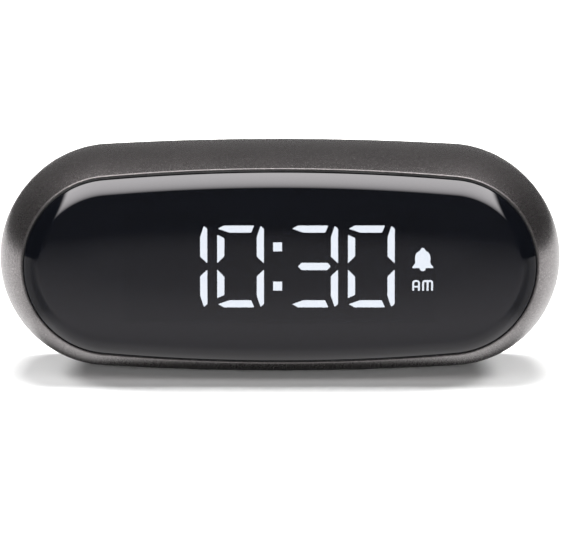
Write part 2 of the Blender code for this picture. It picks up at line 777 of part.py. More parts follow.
def make_cells(surfaces):
    """Two cells one above the other, end for end, between the contacts."""
    gap = 0.2 * MM
    left = BAY_X[0] + gap + CONTACT_THICKNESS
    right = BAY_X[1] - gap - CONTACT_THICKNESS
    left_positive = left + gap
    right_positive = right - gap
    lower_start = place(left_positive + CELL_LENGTH, CELL_DEPTH, -CELL_HEIGHT)
    upper_start = place(right_positive - CELL_LENGTH, CELL_DEPTH, CELL_HEIGHT)
    turned_part("cell_lower", cell_profile(), surfaces["cell"], lower_start, (-1, 0, 0), 20)
    turned_part("cell_upper", cell_profile(), surfaces["cell"], upper_start, (1, 0, 0), 20)

    near, far = CONTACT_DEPTHS
    inner, outer = CONTACT_HEIGHTS
    plates = (
        ("bridge_contact", left - CONTACT_THICKNESS, -outer, outer),
        ("positive_contact", right, inner, outer),
        ("negative_contact", right, -outer, -inner),
    )
    for name, x, bottom, top in plates:
        low = place(x, near, bottom)
        block(name, low, place(x + CONTACT_THICKNESS, far, top), surfaces["contact"])
    spring_gap = SPRING_WIRE + gap
    make_contact_spring(
        "bridge_spring", left + spring_gap, upper_start.x - spring_gap, CELL_HEIGHT, surfaces["contact"]
    )
    make_contact_spring(
        "negative_spring", right - spring_gap, lower_start.x + spring_gap, -CELL_HEIGHT, surfaces["contact"]
    )


def make_contact_spring(name, base_x, tip_x, height, surface):
    """A tapering coil from the contact plate to the flat end of a cell."""
    per_turn = 12
    count = SPRING_TURNS * per_turn
    points = []
    for i in range(count + 1):
        share = i / count
        angle = share * SPRING_TURNS * math.tau
        radius = (3.2 - 1.4 * share) * MM
        x = base_x + (tip_x - base_x) * share
        points.append(place(x, CELL_DEPTH + radius * math.sin(angle), height + radius * math.cos(angle)))
    return tube(name, points, SPRING_WIRE, surface)


# Controls


def make_controls(surfaces):
    near, far = KEY_BOARD_DEPTHS
    low = place(KEY_BOARD_X[0], near, KEY_BOARD_HEIGHTS[0])
    high = place(KEY_BOARD_X[1], far, KEY_BOARD_HEIGHTS[1])
    board = block("key_board", low, high, surfaces["board"], 1.5 * MM, 1)
    holes = bmesh.new()
    for x, height in KEY_POSTS:
        add_bore(holes, SCREW_CLEARANCE, x, height, near - MM, far + MM)
    boolean(board, helper("key_board_holes", holes), "DIFFERENCE")
    for number, (x, height) in enumerate(KEY_POSTS, 1):
        turned_part(
            f"key_board_screw_{number}",
            screw_profile(1.2 * MM, 0.7 * MM, 0.5 * MM, 4.0 * MM),
            surfaces["screw"],
            place(x, near - SEAT, height),
            (0, -1, 0),
            12,
        )
    on_board = far + SEAT
    for name, x, height in BUTTONS:
        make_button(name, x, height, on_board, surfaces)
    make_slide_switch(on_board, surfaces)


def make_button(name, x, height, on_board, surfaces):
    """A tact switch on the key board, its plunger, and the cap that shows in the rear cover."""
    body_top = on_board + TACT_HEIGHT
    low = place(x - TACT_HALF, on_board, height - TACT_HALF)
    high = place(x + TACT_HALF, body_top, height + TACT_HALF)
    case = block(f"{name}_switch_case", low, high, surfaces["chip"])
    well = add_bore(
        bmesh.new(), TACT_WELL_RADIUS, x, height, body_top - TACT_WELL_DEPTH, body_top + MM, 16
    )
    boolean(case, helper(f"{name}_switch_well", well), "DIFFERENCE")
    plunger_start = body_top - PLUNGER_SUNK
    plunger = ((0, 0), (PLUNGER_RADIUS, 0), (PLUNGER_RADIUS, PLUNGER_LENGTH), (0, PLUNGER_LENGTH))
    turned_part(
        f"{name}_plunger", plunger, surfaces["plunger"], place(x, plunger_start, height), (0, 1, 0), 12
    )
    stem_start = plunger_start + PLUNGER_LENGTH + SEAT
    flange_end = REAR_DEPTH - COVER_THICKNESS - 0.2 * MM - stem_start
    flange_start = flange_end - BUTTON_FLANGE_DEPTH
    top = REAR_DEPTH + BUTTON_STAND - stem_start
    profile = (
        (0, 0),
        (BUTTON_STEM, 0),
        (BUTTON_STEM, flange_start),
        (BUTTON_FLANGE, flange_start),
        (BUTTON_FLANGE, flange_end),
        (BUTTON_RADIUS, flange_end),
        (BUTTON_RADIUS, top - BUTTON_EDGE),
        (BUTTON_RADIUS - BUTTON_EDGE, top - 0.05 * MM),
        (BUTTON_RADIUS * 0.5, top),
        (0, top),
    )
    turned_part(f"{name}_button", profile, surfaces["button"], place(x, stem_start, height), (0, 1, 0), 24)


def make_slide_switch(on_board, surfaces):
    """The alarm switch: a small case, and a lever that slides along X in the slot of the cover."""
    half_x, case_height, half_z = SWITCH_CASE
    case_top = on_board + case_height
    low = place(SWITCH_X - half_x, on_board, SWITCH_HEIGHT - half_z)
    high = place(SWITCH_X + half_x, case_top, SWITCH_HEIGHT + half_z)
    case = block("alarm_switch_case", low, high, surfaces["can"])
    lever_half_x, lever_half_z = LEVER_HALF
    slot_half_x = SWITCH_TRAVEL / 2 + lever_half_x + FIT
    slot_half_z = lever_half_z + 0.2 * MM
    slot = add_box(
        bmesh.new(),
        place(SWITCH_X - slot_half_x, case_top - LEVER_REACH - 0.4 * MM, SWITCH_HEIGHT - slot_half_z),
        place(SWITCH_X + slot_half_x, case_top + MM, SWITCH_HEIGHT + slot_half_z),
    )
    boolean(case, helper("alarm_switch_slot", slot), "DIFFERENCE")
    lever_x = SWITCH_X - SWITCH_TRAVEL / 2
    lever = bmesh.new()
    lever_top = REAR_DEPTH + LEVER_STAND
    add_box(
        lever,
        place(lever_x - lever_half_x, case_top - LEVER_REACH, SWITCH_HEIGHT - lever_half_z),
        place(lever_x + lever_half_x, lever_top, SWITCH_HEIGHT + lever_half_z),
        0.2 * MM,
    )
    origin = place(lever_x, (case_top + lever_top) / 2, SWITCH_HEIGHT)
    finish("alarm_switch_lever", lever, surfaces["button"], origin)


# Touch pad and wiring


def make_wiring(surfaces):
    """The copper touch pad under the roof, and the leads that join the boards and the battery tray."""
    under_roof = LIP_HALF_HEIGHT + SWELL_TOP - WALL - 0.5 * MM
    near, far = TOUCH_DEPTHS
    low = place(-TOUCH_HALF_WIDTH, near, under_roof - TOUCH_THICKNESS)
    block("touch_pad", low, place(TOUCH_HALF_WIDTH, far, under_roof), surfaces["copper"])
    board_face = BOARD_DEPTHS[1] + LEAD_CLEARANCE
    pad_end = place(0, 19 * MM, under_roof - TOUCH_THICKNESS - LEAD_CLEARANCE)
    board_end = place(2 * MM, board_face, 9 * MM)
    down, back = Vector((0, 0, -2 * MM)), Vector((0, 4 * MM, 0))
    route = smooth_route((pad_end, pad_end + down, board_end + back, board_end), 10)
    tube("touch_lead", route, 0.4 * MM, surfaces["lead_white"])
    leads = (
        ("positive_lead", 16.5 * MM, 5.0 * MM, 10.0 * MM, "lead_red"),
        ("negative_lead", 16.5 * MM, -5.0 * MM, 6.0 * MM, "lead_black"),
    )
    for name, x, height, board_x, surface in leads:
        tray_end = place(x, TRAY_FLOOR - LEAD_CLEARANCE, height)
        board_end = place(board_x, board_face, height * 0.6)
        bend = Vector((0, 3.5 * MM, 0))
        route = smooth_route((tray_end, tray_end - bend, board_end + bend, board_end), 12)
        tube(name, route, 0.5 * MM, surfaces[surface])
    block(
        "key_ribbon",
        place(23.5 * MM, board_face, 9.0 * MM),
        place(29.5 * MM, KEY_BOARD_DEPTHS[0] - 0.3 * MM, 9.4 * MM),
        surfaces["lead_white"],
    )


def make_clock():
    board_green = material("board_green", (0.03, 0.16, 0.08), 0.45)
    black_plastic = material("black_plastic", (0.02, 0.02, 0.022), 0.5)
    clear_sheet = material("clear_sheet", (0.75, 0.78, 0.8), 0.1)
    dark_sheet = material("dark_sheet", (0.03, 0.03, 0.035), 0.15)
    nickel = material("nickel", (0.62, 0.6, 0.56), 0.28, 1.0)
    steel = material("screw_steel", (0.45, 0.45, 0.46), 0.35, 1.0)
    brass = material("piezo_brass", (0.78, 0.6, 0.28), 0.3, 1.0)
    display = {
        "front_polariser": dark_sheet,
        "front_glass": clear_sheet,
        "rear_glass": clear_sheet,
        "rear_polariser": dark_sheet,
        "light_guide": material("guide_acrylic", (0.85, 0.88, 0.9), 0.15),
        "reflector": material("reflector_film", (0.9, 0.9, 0.9), 0.6),
        "zebra_strip": material("zebra_rubber", (0.05, 0.05, 0.05), 0.7),
        "backlight_led": material("led_white", (0.85, 0.88, 0.7), 0.3),
    }
    parts = {
        "board": board_green,
        "chip": black_plastic,
        "screw": steel,
        "can": material("can_aluminium", (0.7, 0.7, 0.72), 0.3, 1.0),
        "brass": brass,
        "cell": material("cell_sleeve", (0.12, 0.13, 0.15), 0.35, 0.4),
        "contact": nickel,
        "plunger": material("plunger_plastic", (0.35, 0.05, 0.04), 0.5),
        "button": material("button_plastic", (0.05, 0.05, 0.053), 0.45),
        "copper": material("pad_copper", (0.72, 0.4, 0.25), 0.35, 1.0),
        "lead_white": material("lead_white", (0.7, 0.7, 0.68), 0.5),
        "lead_red": material("lead_red", (0.5, 0.03, 0.03), 0.5),
        "lead_black": material("lead_black", (0.02, 0.02, 0.02), 0.5),
    }
    cover_plastic = material("cover_plastic", (0.045, 0.044, 0.045), 0.5)
    make_housing(material("gunmetal_paint", (0.1, 0.092, 0.094), 0.42, 0.55))
    make_base_pad(material("pad_rubber", (0.02, 0.02, 0.02), 0.85))
    make_front_lens(material("smoked_acrylic", (0.01, 0.01, 0.012), 0.06))
    make_lens_tape(material("foam_tape", (0.03, 0.03, 0.03), 0.9))
    make_display_frame(black_plastic)
    make_display(display)
    make_main_board(parts)
    make_rear_cover(cover_plastic)
    make_battery_door(cover_plastic)
    make_cover_screws(steel)
    make_cells(parts)
    make_controls(parts)
    make_wiring(parts)


clear_scene()
make_clock()
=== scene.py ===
"""The looks of a compact bedside alarm clock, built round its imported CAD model.

Lengths are in metres. Three of them place everything: x, a depth behind the foremost point of the
window, and a height above the middle of the casing. place() turns them into a point.
"""

import json
import math

import bmesh
import bpy
from mathutils import Matrix, Vector


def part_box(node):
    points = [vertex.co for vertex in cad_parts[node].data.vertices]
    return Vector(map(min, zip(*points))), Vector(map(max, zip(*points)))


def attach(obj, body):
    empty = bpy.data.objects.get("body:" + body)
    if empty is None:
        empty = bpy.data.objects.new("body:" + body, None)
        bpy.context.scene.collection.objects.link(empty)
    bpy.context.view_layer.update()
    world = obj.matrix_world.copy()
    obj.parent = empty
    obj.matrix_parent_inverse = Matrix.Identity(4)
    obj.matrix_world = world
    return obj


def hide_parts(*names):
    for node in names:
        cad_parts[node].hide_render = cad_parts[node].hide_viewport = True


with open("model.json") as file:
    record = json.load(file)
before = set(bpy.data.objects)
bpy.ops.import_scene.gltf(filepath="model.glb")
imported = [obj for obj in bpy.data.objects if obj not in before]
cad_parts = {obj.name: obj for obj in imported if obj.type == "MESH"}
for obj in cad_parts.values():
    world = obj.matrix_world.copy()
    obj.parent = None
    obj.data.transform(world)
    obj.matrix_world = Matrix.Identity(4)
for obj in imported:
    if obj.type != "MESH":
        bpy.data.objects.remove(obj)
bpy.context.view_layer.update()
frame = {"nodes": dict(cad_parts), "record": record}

MM = 0.001

# Read from the frame.
CASING_LOW, CASING_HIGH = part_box("housing")
WINDOW_LOW, WINDOW_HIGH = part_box("front_lens")
FRONT_Y = WINDOW_LOW.y
MIDDLE_Z = (CASING_LOW.z + CASING_HIGH.z) / 2
REAR_DEPTH = CASING_HIGH.y - FRONT_Y
LIP_DEPTH = CASING_LOW.y - FRONT_Y

# Casing: a bowed stadium in front view, which swells behind its lip and rounds in at the back.
WINDOW_INSET = 0.65 * MM
WINDOW_EDGE = 0.3 * MM
WINDOW_DROP = 0.09 * MM
LIP_HALF_WIDTH = WINDOW_HIGH.x + WINDOW_INSET
LIP_HALF_HEIGHT = WINDOW_HIGH.z - MIDDLE_Z + WINDOW_INSET
LIP_BOW = 1.15 * MM
SWELL_SIDE = CASING_HIGH.x - LIP_HALF_WIDTH
SWELL_TOP = CASING_HIGH.z - MIDDLE_Z - LIP_HALF_HEIGHT
WIDEST_DEPTH = 16.5 * MM
WIDEST_BOW = 0.78 * MM
REAR_TUCK_SIDE = 4.6 * MM
REAR_TUCK_TOP = 4.1 * MM
REAR_BOW = 0.5 * MM
REAR_ROUNDNESS = 2.5
REAR_EDGE = 0.25 * MM
WALL = 1.8 * MM
REAR_WALL = 1.7 * MM
POCKET_INSET = 0.21 * MM
LIP_LEAN = 0.5
LEDGE_DEPTH = 6.2 * MM
LEDGE_THICKNESS = 1.5 * MM
LEDGE_INSET = 2.2 * MM
OPENING_HALF_WIDTH = 38.3 * MM
OPENING_HALF_HEIGHT = 12.5 * MM
OPENING_BOW = 0.1 * MM
PAD_CLEARANCE = 0.3 * MM
PAD_CORNER = 4.3 * MM
CROWN_SEGMENTS = 40
END_SEGMENTS = 72

# Window: a domed shell with a steep round shoulder.
WINDOW_CROWN = 1.1 * MM
WINDOW_CROWN_INSET = 12.0 * MM
WINDOW_SHOULDER = 1.85 * MM
WINDOW_SHOULDER_WIDTH = 2.5 * MM
WINDOW_ROUNDNESS = 1.5
WINDOW_THICKNESS = 1.8 * MM
WINDOW_REAR = WINDOW_HIGH.y - FRONT_Y
WINDOW_FLANGE = 2.0 * MM

# Display signs.
SIGN_THICKNESS = 0.06 * MM
SIGN_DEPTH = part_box("front_polariser")[0].y - FRONT_Y - SIGN_THICKNESS - 0.02 * MM
DIGIT_HALF_WIDTH = 3.66 * MM
DIGIT_HALF_HEIGHT = 6.45 * MM
STROKE = 1.12 * MM
DIGIT_PITCH = 8.87 * MM
COLON_X = -0.37 * MM
COLON_GAP = 5.8 * MM
COLON_RISE = 3.09 * MM
COLON_HALF = 0.7 * MM
DISPLAY_HEIGHT = -0.36 * MM
SIGNS_X = 22.35 * MM
BELL_HEIGHT = 0.77 * MM
HALF_DAY_HEIGHT = -3.34 * MM
CLEAR_HALF_WIDTH = 24.3 * MM
CLEAR_HALF_HEIGHT = 8.7 * MM


def place(x, depth, height):
    return Vector((x, FRONT_Y + depth, MIDDLE_Z + height))


# Outlines


def bowed_stadium(half_width, half_height, bow):
    """(x, height) points round a stadium whose long sides bow outwards, from the top left, clockwise."""
    end_radius = half_height - bow
    end_x = half_width - end_radius
    crown_radius = (end_x**2 + half_height**2 - end_radius**2) / (2 * bow)
    turn = math.atan2(end_x, crown_radius - half_height)
    right = []
    for i in range(CROWN_SEGMENTS):
        angle = turn * (2 * i / CROWN_SEGMENTS - 1)
        top = half_height - crown_radius * (1 - math.cos(angle))
        right.append((crown_radius * math.sin(angle), top))
    for i in range(END_SEGMENTS):
        angle = turn + (math.pi - 2 * turn) * i / END_SEGMENTS
        right.append((end_x + end_radius * math.sin(angle), end_radius * math.cos(angle)))
    return right + [(-x, -height) for x, height in right]


def ring(half_width, half_height, bow, depth):
    return [place(x, depth, height) for x, height in bowed_stadium(half_width, half_height, bow)]


def front_swell(share):
    return 1 - (1 - share) ** 2


def casing_ring(depth, inset=0.0):
    """The casing's outline between its lip and its widest depth."""
    share = front_swell((depth - LIP_DEPTH) / (WIDEST_DEPTH - LIP_DEPTH))
    half_width = LIP_HALF_WIDTH + SWELL_SIDE * share - inset
    half_height = LIP_HALF_HEIGHT + SWELL_TOP * share - inset
    return ring(half_width, half_height, LIP_BOW + (WIDEST_BOW - LIP_BOW) * share, depth)


def tuck_ring(turn, inset=0.0):
    """The casing's outline behind its widest depth. turn runs from 0 there to a quarter turn at the back."""
    power = 2 / REAR_ROUNDNESS
    share = math.sin(turn) ** power
    tuck = 1 - max(math.cos(turn), 0.0) ** power
    half_width = LIP_HALF_WIDTH + SWELL_SIDE - REAR_TUCK_SIDE * tuck - inset
    half_height = LIP_HALF_HEIGHT + SWELL_TOP - REAR_TUCK_TOP * tuck - inset
    bow = WIDEST_BOW + (REAR_BOW - WIDEST_BOW) * share**4
    return ring(half_width, half_height, bow, WIDEST_DEPTH + (REAR_DEPTH - WIDEST_DEPTH) * share)


def lip_ring(depth, inset):
    return ring(LIP_HALF_WIDTH - inset, LIP_HALF_HEIGHT - inset, LIP_BOW, depth)


def window_ring(depth, inset):
    """The lip's outline for the window, which sits a little low in it."""
    half_height = LIP_HALF_HEIGHT - inset - WINDOW_DROP
    outline = bowed_stadium(LIP_HALF_WIDTH - inset, half_height, LIP_BOW)
    return [place(x, depth, height - WINDOW_DROP) for x, height in outline]


def opening_ring(depth, inset=0.0):
    return ring(OPENING_HALF_WIDTH - inset, OPENING_HALF_HEIGHT - inset, OPENING_BOW, depth)


def quarter(steps):
    return [math.pi / 2 * i / steps for i in range(steps + 1)]


# Mesh helpers


def loft(rings, hollow=False):
    """A skin drawn from ring to ring. A hollow one returns to its first ring, and a solid one has ends."""
    bm = bmesh.new()
    station = bm.verts.layers.int.new("station")
    verts = [bm.verts.new(point) for point in rings[0]]
    for i, vert in enumerate(verts):
        vert[station] = i
    loop = [bm.edges.new((verts[i - 1], verts[i])) for i in range(len(verts))]
    if not hollow:
        bmesh.ops.contextual_create(bm, geom=loop)
    for points in rings[1:] + rings[:1] * hollow:
        drawn = bmesh.ops.extrude_edge_only(bm, edges=loop)["geom"]
        loop = [item for item in drawn if isinstance(item, bmesh.types.BMEdge)]
        for vert in drawn:
            if isinstance(vert, bmesh.types.BMVert):
                vert.co = points[vert[station]]
    if hollow:
        bmesh.ops.remove_doubles(bm, verts=bm.verts, dist=1e-7)
    else:
        bmesh.ops.contextual_create(bm, geom=loop)
    return bm


def add_slab(bm, corners, across):
    """A flat outline through these corners, drawn out into a slab."""
    verts = [bm.verts.new(corner) for corner in corners]
    loop = [bm.edges.new((verts[i - 1], verts[i])) for i in range(len(verts))]
    face = bmesh.ops.contextual_create(bm, geom=loop)["faces"][0]
    drawn = bmesh.ops.extrude_face_region(bm, geom=[face])["geom"]
    moved = [item for item in drawn if isinstance(item, bmesh.types.BMVert)]
    bmesh.ops.translate(bm, verts=moved, vec=across)


def add_plate(bm, outline, near, far):
    """A flat plate between two depths, from (x, height) points round it."""
    add_slab(bm, [place(x, near, height) for x, height in outline], (0, far - near, 0))


def add_box(bm, low, high):
    size = Vector(high) - Vector(low)
    middle = (Vector(high) + Vector(low)) / 2
    shape = Matrix.Translation(middle) @ Matrix.Diagonal((*size, 1.0))
    return bmesh.ops.create_cube(bm, size=1.0, matrix=shape)["verts"]


def add_turned(bm, profile, origin, axis, steps):
    """A turned solid about axis, from (radius, height) points that start and end on it."""
    verts = [bm.verts.new((radius, 0.0, height)) for radius, height in profile]
    edges = [bm.edges.new(pair) for pair in zip(verts, verts[1:])]
    old = set(bm.verts) - set(verts)
    bmesh.ops.spin(
        bm, geom=verts + edges, cent=(0, 0, 0), axis=(0, 0, 1), angle=math.tau, steps=steps, use_merge=True
    )
    made = [vert for vert in bm.verts if vert not in old]
    turn = Vector(axis).to_track_quat("Z", "Y").to_matrix().to_4x4()
    bmesh.ops.transform(bm, matrix=Matrix.Translation(origin) @ turn, verts=made)
    bmesh.ops.remove_doubles(bm, verts=made, dist=1e-7)


def rise(edge):
    """From one end of the edge to the other."""
    return edge.verts[1].co - edge.verts[0].co


def round_edges(bm, offset, segments=3, sharper_than=30):
    """Rounds every edge that is sharper than this angle."""
    limit = math.radians(sharper_than)
    edges = [edge for edge in bm.edges if edge.is_manifold and edge.calc_face_angle(0) > limit]
    bmesh.ops.bevel(
        bm,
        geom=edges,
        offset=offset,
        affect="EDGES",
        segments=segments,
        profile=0.5,
        material=-1,
        clamp_overlap=True,
    )


def make_mesh(name, bm, smooth_angle=35):
    bmesh.ops.recalc_face_normals(bm, faces=bm.faces)
    if bm.calc_volume(signed=True) < 0:
        bmesh.ops.reverse_faces(bm, faces=bm.faces)
    mesh = bpy.data.meshes.new(name)
    bm.to_mesh(mesh)
    bm.free()
    mesh.shade_smooth()
    mesh.set_sharp_from_angle(angle=math.radians(smooth_angle))
    return mesh


def make_piece(name, bm, surface, body, nodes=(), smooth_angle=35):
    """One finished piece, which rides on a body and may stand for CAD nodes."""
    mesh = make_mesh(name, bm, smooth_angle)
    mesh.materials.append(surface)
    made = bpy.data.objects.new(name, mesh)
    bpy.context.collection.objects.link(made)
    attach(made, body)
    if nodes:
        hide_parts(*nodes)
    return made


def cut_away(piece, cutter_bm):
    """Takes the cutter's shape out of the piece's mesh."""
    cutter = bpy.data.objects.new("cutter", make_mesh("cutter", cutter_bm))
    bpy.context.collection.objects.link(cutter)
    modifier = piece.modifiers.new("cut", "BOOLEAN")
    modifier.operation = "DIFFERENCE"
    modifier.object = cutter
    modifier.solver = "EXACT"
    graph = bpy.context.evaluated_depsgraph_get()
    whole = piece.data
    piece.data = bpy.data.meshes.new_from_object(piece.evaluated_get(graph))
    piece.modifiers.clear()
    bpy.data.objects.remove(cutter)
    bpy.data.meshes.remove(whole)
    piece.data.shade_smooth()
    piece.data.set_sharp_from_angle(angle=math.radians(35))


def softened_copy(node, offset):
    """The CAD node's shape with its doubles merged and its sharp edges rounded."""
    bm = bmesh.new()
    bm.from_mesh(frame["nodes"][node].data)
    bmesh.ops.remove_doubles(bm, verts=bm.verts, dist=1e-6)
    bmesh.ops.dissolve_limit(bm, angle_limit=math.radians(1), verts=bm.verts, edges=bm.edges)
    round_edges(bm, offset, 2)
    return bm


# Materials


class Finish:
    """A Principled material under construction, with short calls for the nodes that it is made of."""

    def __init__(self, name, roughness, metallic=0.0):
        self.material = bpy.data.materials.new(name)
        self.material.use_nodes = True
        self.tree = self.material.node_tree
        self.shader = self.tree.nodes["Principled BSDF"]
        self.shader.inputs["Roughness"].default_value = roughness
        self.shader.inputs["Metallic"].default_value = metallic
        self.coordinates = self.tree.nodes.new("ShaderNodeTexCoord").outputs["Object"]

    def set(self, **plain):
        """Plain values on the shader's own sockets."""
        for label, value in plain.items():
            self.shader.inputs[label.replace("_", " ")].default_value = value

    def link(self, output, label):
        self.tree.links.new(output, self.shader.inputs[label])

    def stretched(self, scale):
        node = self.tree.nodes.new("ShaderNodeMapping")
        node.inputs["Scale"].default_value = scale
        self.tree.links.new(self.coordinates, node.inputs["Vector"])
        return node.outputs["Vector"]

    def noise(self, size, detail=2.0, roughness=0.5, vector=None):
        """Noise whose features are about this size."""
        node = self.tree.nodes.new("ShaderNodeTexNoise")
        node.inputs["Scale"].default_value = 1 / size
        node.inputs["Detail"].default_value = detail
        node.inputs["Roughness"].default_value = roughness
        self.tree.links.new(vector or self.coordinates, node.inputs["Vector"])
        return node.outputs["Fac"]

    def flakes(self, size):
        """A random grey in each cell of this size."""
        node = self.tree.nodes.new("ShaderNodeTexVoronoi")
        node.inputs["Scale"].default_value = 1 / size
        self.tree.links.new(self.coordinates, node.inputs["Vector"])
        grey = self.tree.nodes.new("ShaderNodeSeparateColor")
        self.tree.links.new(node.outputs["Color"], grey.inputs["Color"])
        return grey.outputs["Red"]

    def span(self, value, low, high, to_low, to_high):
        """The value moved smoothly from one range to another."""
        node = self.tree.nodes.new("ShaderNodeMapRange")
        node.interpolation_type = "SMOOTHSTEP"
        for label, number in (("From Min", low), ("From Max", high), ("To Min", to_low), ("To Max", to_high)):
            node.inputs[label].default_value = number
        self.tree.links.new(value, node.inputs["Value"])
        return node.outputs["Result"]

    def calculate(self, operation, first, second):
        node = self.tree.nodes.new("ShaderNodeMath")
        node.operation = operation
        for socket, value in zip(node.inputs, (first, second)):
            if isinstance(value, float):
                socket.default_value = value
            else:
                self.tree.links.new(value, socket)
        return node.outputs["Value"]

    def blend(self, factor, first, second):
        """One colour going over into another. Each is (r, g, b) or a node's output."""
        node = self.tree.nodes.new("ShaderNodeMix")
        node.data_type = "RGBA"
        self.tree.links.new(factor, node.inputs["Factor"])
        for socket, value in zip((node.inputs[6], node.inputs[7]), (first, second)):
            if isinstance(value, tuple):
                socket.default_value = (*value, 1.0)
            else:
                self.tree.links.new(value, socket)
        return node.outputs[2]

    def bump(self, height, distance, strength=1.0):
        node = self.tree.nodes.new("ShaderNodeBump")
        node.inputs["Distance"].default_value = distance
        node.inputs["Strength"].default_value = strength
        self.tree.links.new(height, node.inputs["Height"])
        self.link(node.outputs["Normal"], "Normal")


def shade(colour, factor):
    return tuple(channel * factor for channel in colour)


def gunmetal_paint():
    """Satin paint with fine metal flake. Along the lip it is duller and its colour goes over to a set tone
    chosen for the lip's bright line: rubbed wear and painted highlight together.
    """
    paint = Finish("gunmetal_paint", 0.34, 0.95)
    flake = paint.flakes(0.16 * MM)
    fine = paint.noise(0.22 * MM, 3.0, 0.6)
    cloud = paint.noise(9 * MM, 2.0)
    body = paint.blend(paint.span(cloud, 0.3, 0.7, 0.0, 1.0), (0.165, 0.152, 0.154), (0.19, 0.176, 0.178))
    sparkle = paint.blend(paint.span(flake, 0.72, 1.0, 0.0, 1.0), body, (0.34, 0.32, 0.32))
    grained = paint.blend(paint.span(fine, 0.25, 0.6, 0.55, 0.0), sparkle, (0.08, 0.074, 0.075))
    split = paint.tree.nodes.new("ShaderNodeSeparateXYZ")
    paint.tree.links.new(paint.coordinates, split.inputs["Vector"])
    lip_y = FRONT_Y + LIP_DEPTH
    # Painted highlight and rubbed wear: just behind the lip's nose the colour goes over to a set tone that
    # sets how bright the lip's line looks.
    lip_wear_and_highlight_band = paint.span(split.outputs["Y"], lip_y + 0.12 * MM, lip_y + 0.35 * MM, 0.55, 0.0)
    lip_wear_and_highlight = paint.calculate("MULTIPLY", lip_wear_and_highlight_band, paint.span(paint.noise(1.4 * MM, 3.0), 0.3, 0.6, 0.4, 1.0))
    paint.link(paint.blend(lip_wear_and_highlight, grained, (0.13, 0.121, 0.122)), "Base Color")
    dulled = paint.calculate("MULTIPLY", lip_wear_and_highlight, 0.35)
    paint.link(paint.calculate("ADD", paint.span(fine, 0.3, 0.7, 0.3, 0.23), dulled), "Roughness")
    paint.bump(fine, 0.018 * MM, 0.7)
    return paint.material


def smoked_window():
    """Polished smoked acrylic, see-through only in front of the display, wiped a little duller in places."""
    window = Finish("smoked_acrylic", 0.05)
    window.set(IOR=1.5, Specular_Tint=(1.0, 0.965, 1.0, 1.0))
    split = window.tree.nodes.new("ShaderNodeSeparateXYZ")
    window.tree.links.new(window.coordinates, split.inputs["Vector"])
    across = window.calculate("ABSOLUTE", split.outputs["X"], 0.0)
    up = window.calculate("ABSOLUTE", window.calculate("SUBTRACT", split.outputs["Z"], MIDDLE_Z), 0.0)
    beside = window.span(across, CLEAR_HALF_WIDTH - 0.5 * MM, CLEAR_HALF_WIDTH, 0.0, 1.0)
    above = window.span(up, CLEAR_HALF_HEIGHT - 0.5 * MM, CLEAR_HALF_HEIGHT, 0.0, 1.0)
    inner_y = FRONT_Y + WINDOW_THICKNESS / 2
    smoke = window.span(split.outputs["Y"], inner_y, inner_y + 0.2 * MM, 0.95, 0.0)
    window.link(window.calculate("MAXIMUM", window.calculate("MAXIMUM", beside, above), smoke), "Alpha")
    cloud = window.noise(14 * MM, 2.0)
    window.link(window.blend(cloud, (0.0012, 0.0015, 0.0025), (0.0017, 0.0021, 0.0034)), "Base Color")
    wiped = window.noise(6 * MM, 5.0, 0.65, window.stretched((1.0, 1.0, 2.4)))
    window.link(window.span(wiped, 0.45, 0.8, 0.045, 0.08), "Roughness")
    return window.material


def lit_white():
    """White light behind a diffusing film, a touch uneven from place to place."""
    lit = Finish("lit_white", 0.35)
    cells = lit.noise(0.9 * MM, 2.0)
    lit.link(lit.blend(cells, (0.86, 0.9, 0.96), (0.93, 0.95, 0.99)), "Base Color")
    lit.link(lit.blend(cells, (0.80, 0.86, 0.97), (0.90, 0.94, 1.0)), "Emission Color")
    lit.set(Emission_Strength=19.0)
    lit.bump(cells, 0.004 * MM)
    return lit.material


def moulded_plastic(name, colour, roughness, grain, depth, variation=0.22):
    """Spark-textured plastic: fine grain, a faint flow pattern and slightly polished high spots."""
    plastic = Finish(name, roughness)
    fine = plastic.noise(grain, 3.0, 0.6)
    flow = plastic.noise(7 * MM, 3.0)
    patches = plastic.span(flow, 0.3, 0.7, 0.3, 1.0)
    mixed = plastic.calculate("MULTIPLY", patches, plastic.span(fine, 0.3, 0.7, 0.2, 1.0))
    dark, light = shade(colour, 1 - variation), shade(colour, 1 + variation)
    plastic.link(plastic.blend(mixed, dark, light), "Base Color")
    plastic.link(plastic.span(fine, 0.3, 0.7, roughness + 0.06, roughness - 0.06), "Roughness")
    plastic.bump(fine, depth, 0.8)
    return plastic.material


def plated_metal(name, colour, roughness, stretch=(1.0, 1.0, 1.0), brush=0.25 * MM):
    """Drawn or plated metal with fine tool lines and a slightly duller bloom in patches."""
    metal = Finish(name, roughness, 1.0)
    lines = metal.noise(brush, 3.0, 0.6, metal.stretched(stretch))
    bloom = metal.noise(3 * MM, 3.0)
    dulled = metal.blend(metal.span(bloom, 0.45, 0.75, 0.0, 0.5), colour, shade(colour, 0.62))
    metal.link(metal.blend(metal.span(lines, 0.3, 0.7, 0.25, 0.0), dulled, shade(colour, 0.5)), "Base Color")
    metal.link(metal.span(bloom, 0.35, 0.75, roughness, roughness + 0.14), "Roughness")
    metal.bump(lines, 0.003 * MM, 0.5)
    return metal.material


def clear_sheet(name, colour, transmission, roughness):
    """Thin clear or tinted sheet with faint haze."""
    sheet = Finish(name, roughness)
    sheet.set(IOR=1.5, Transmission_Weight=transmission)
    haze = sheet.noise(5 * MM, 4.0)
    sheet.link(sheet.blend(haze, shade(colour, 0.93), colour), "Base Color")
    sheet.link(sheet.span(haze, 0.35, 0.75, roughness, roughness + 0.08), "Roughness")
    return sheet.material


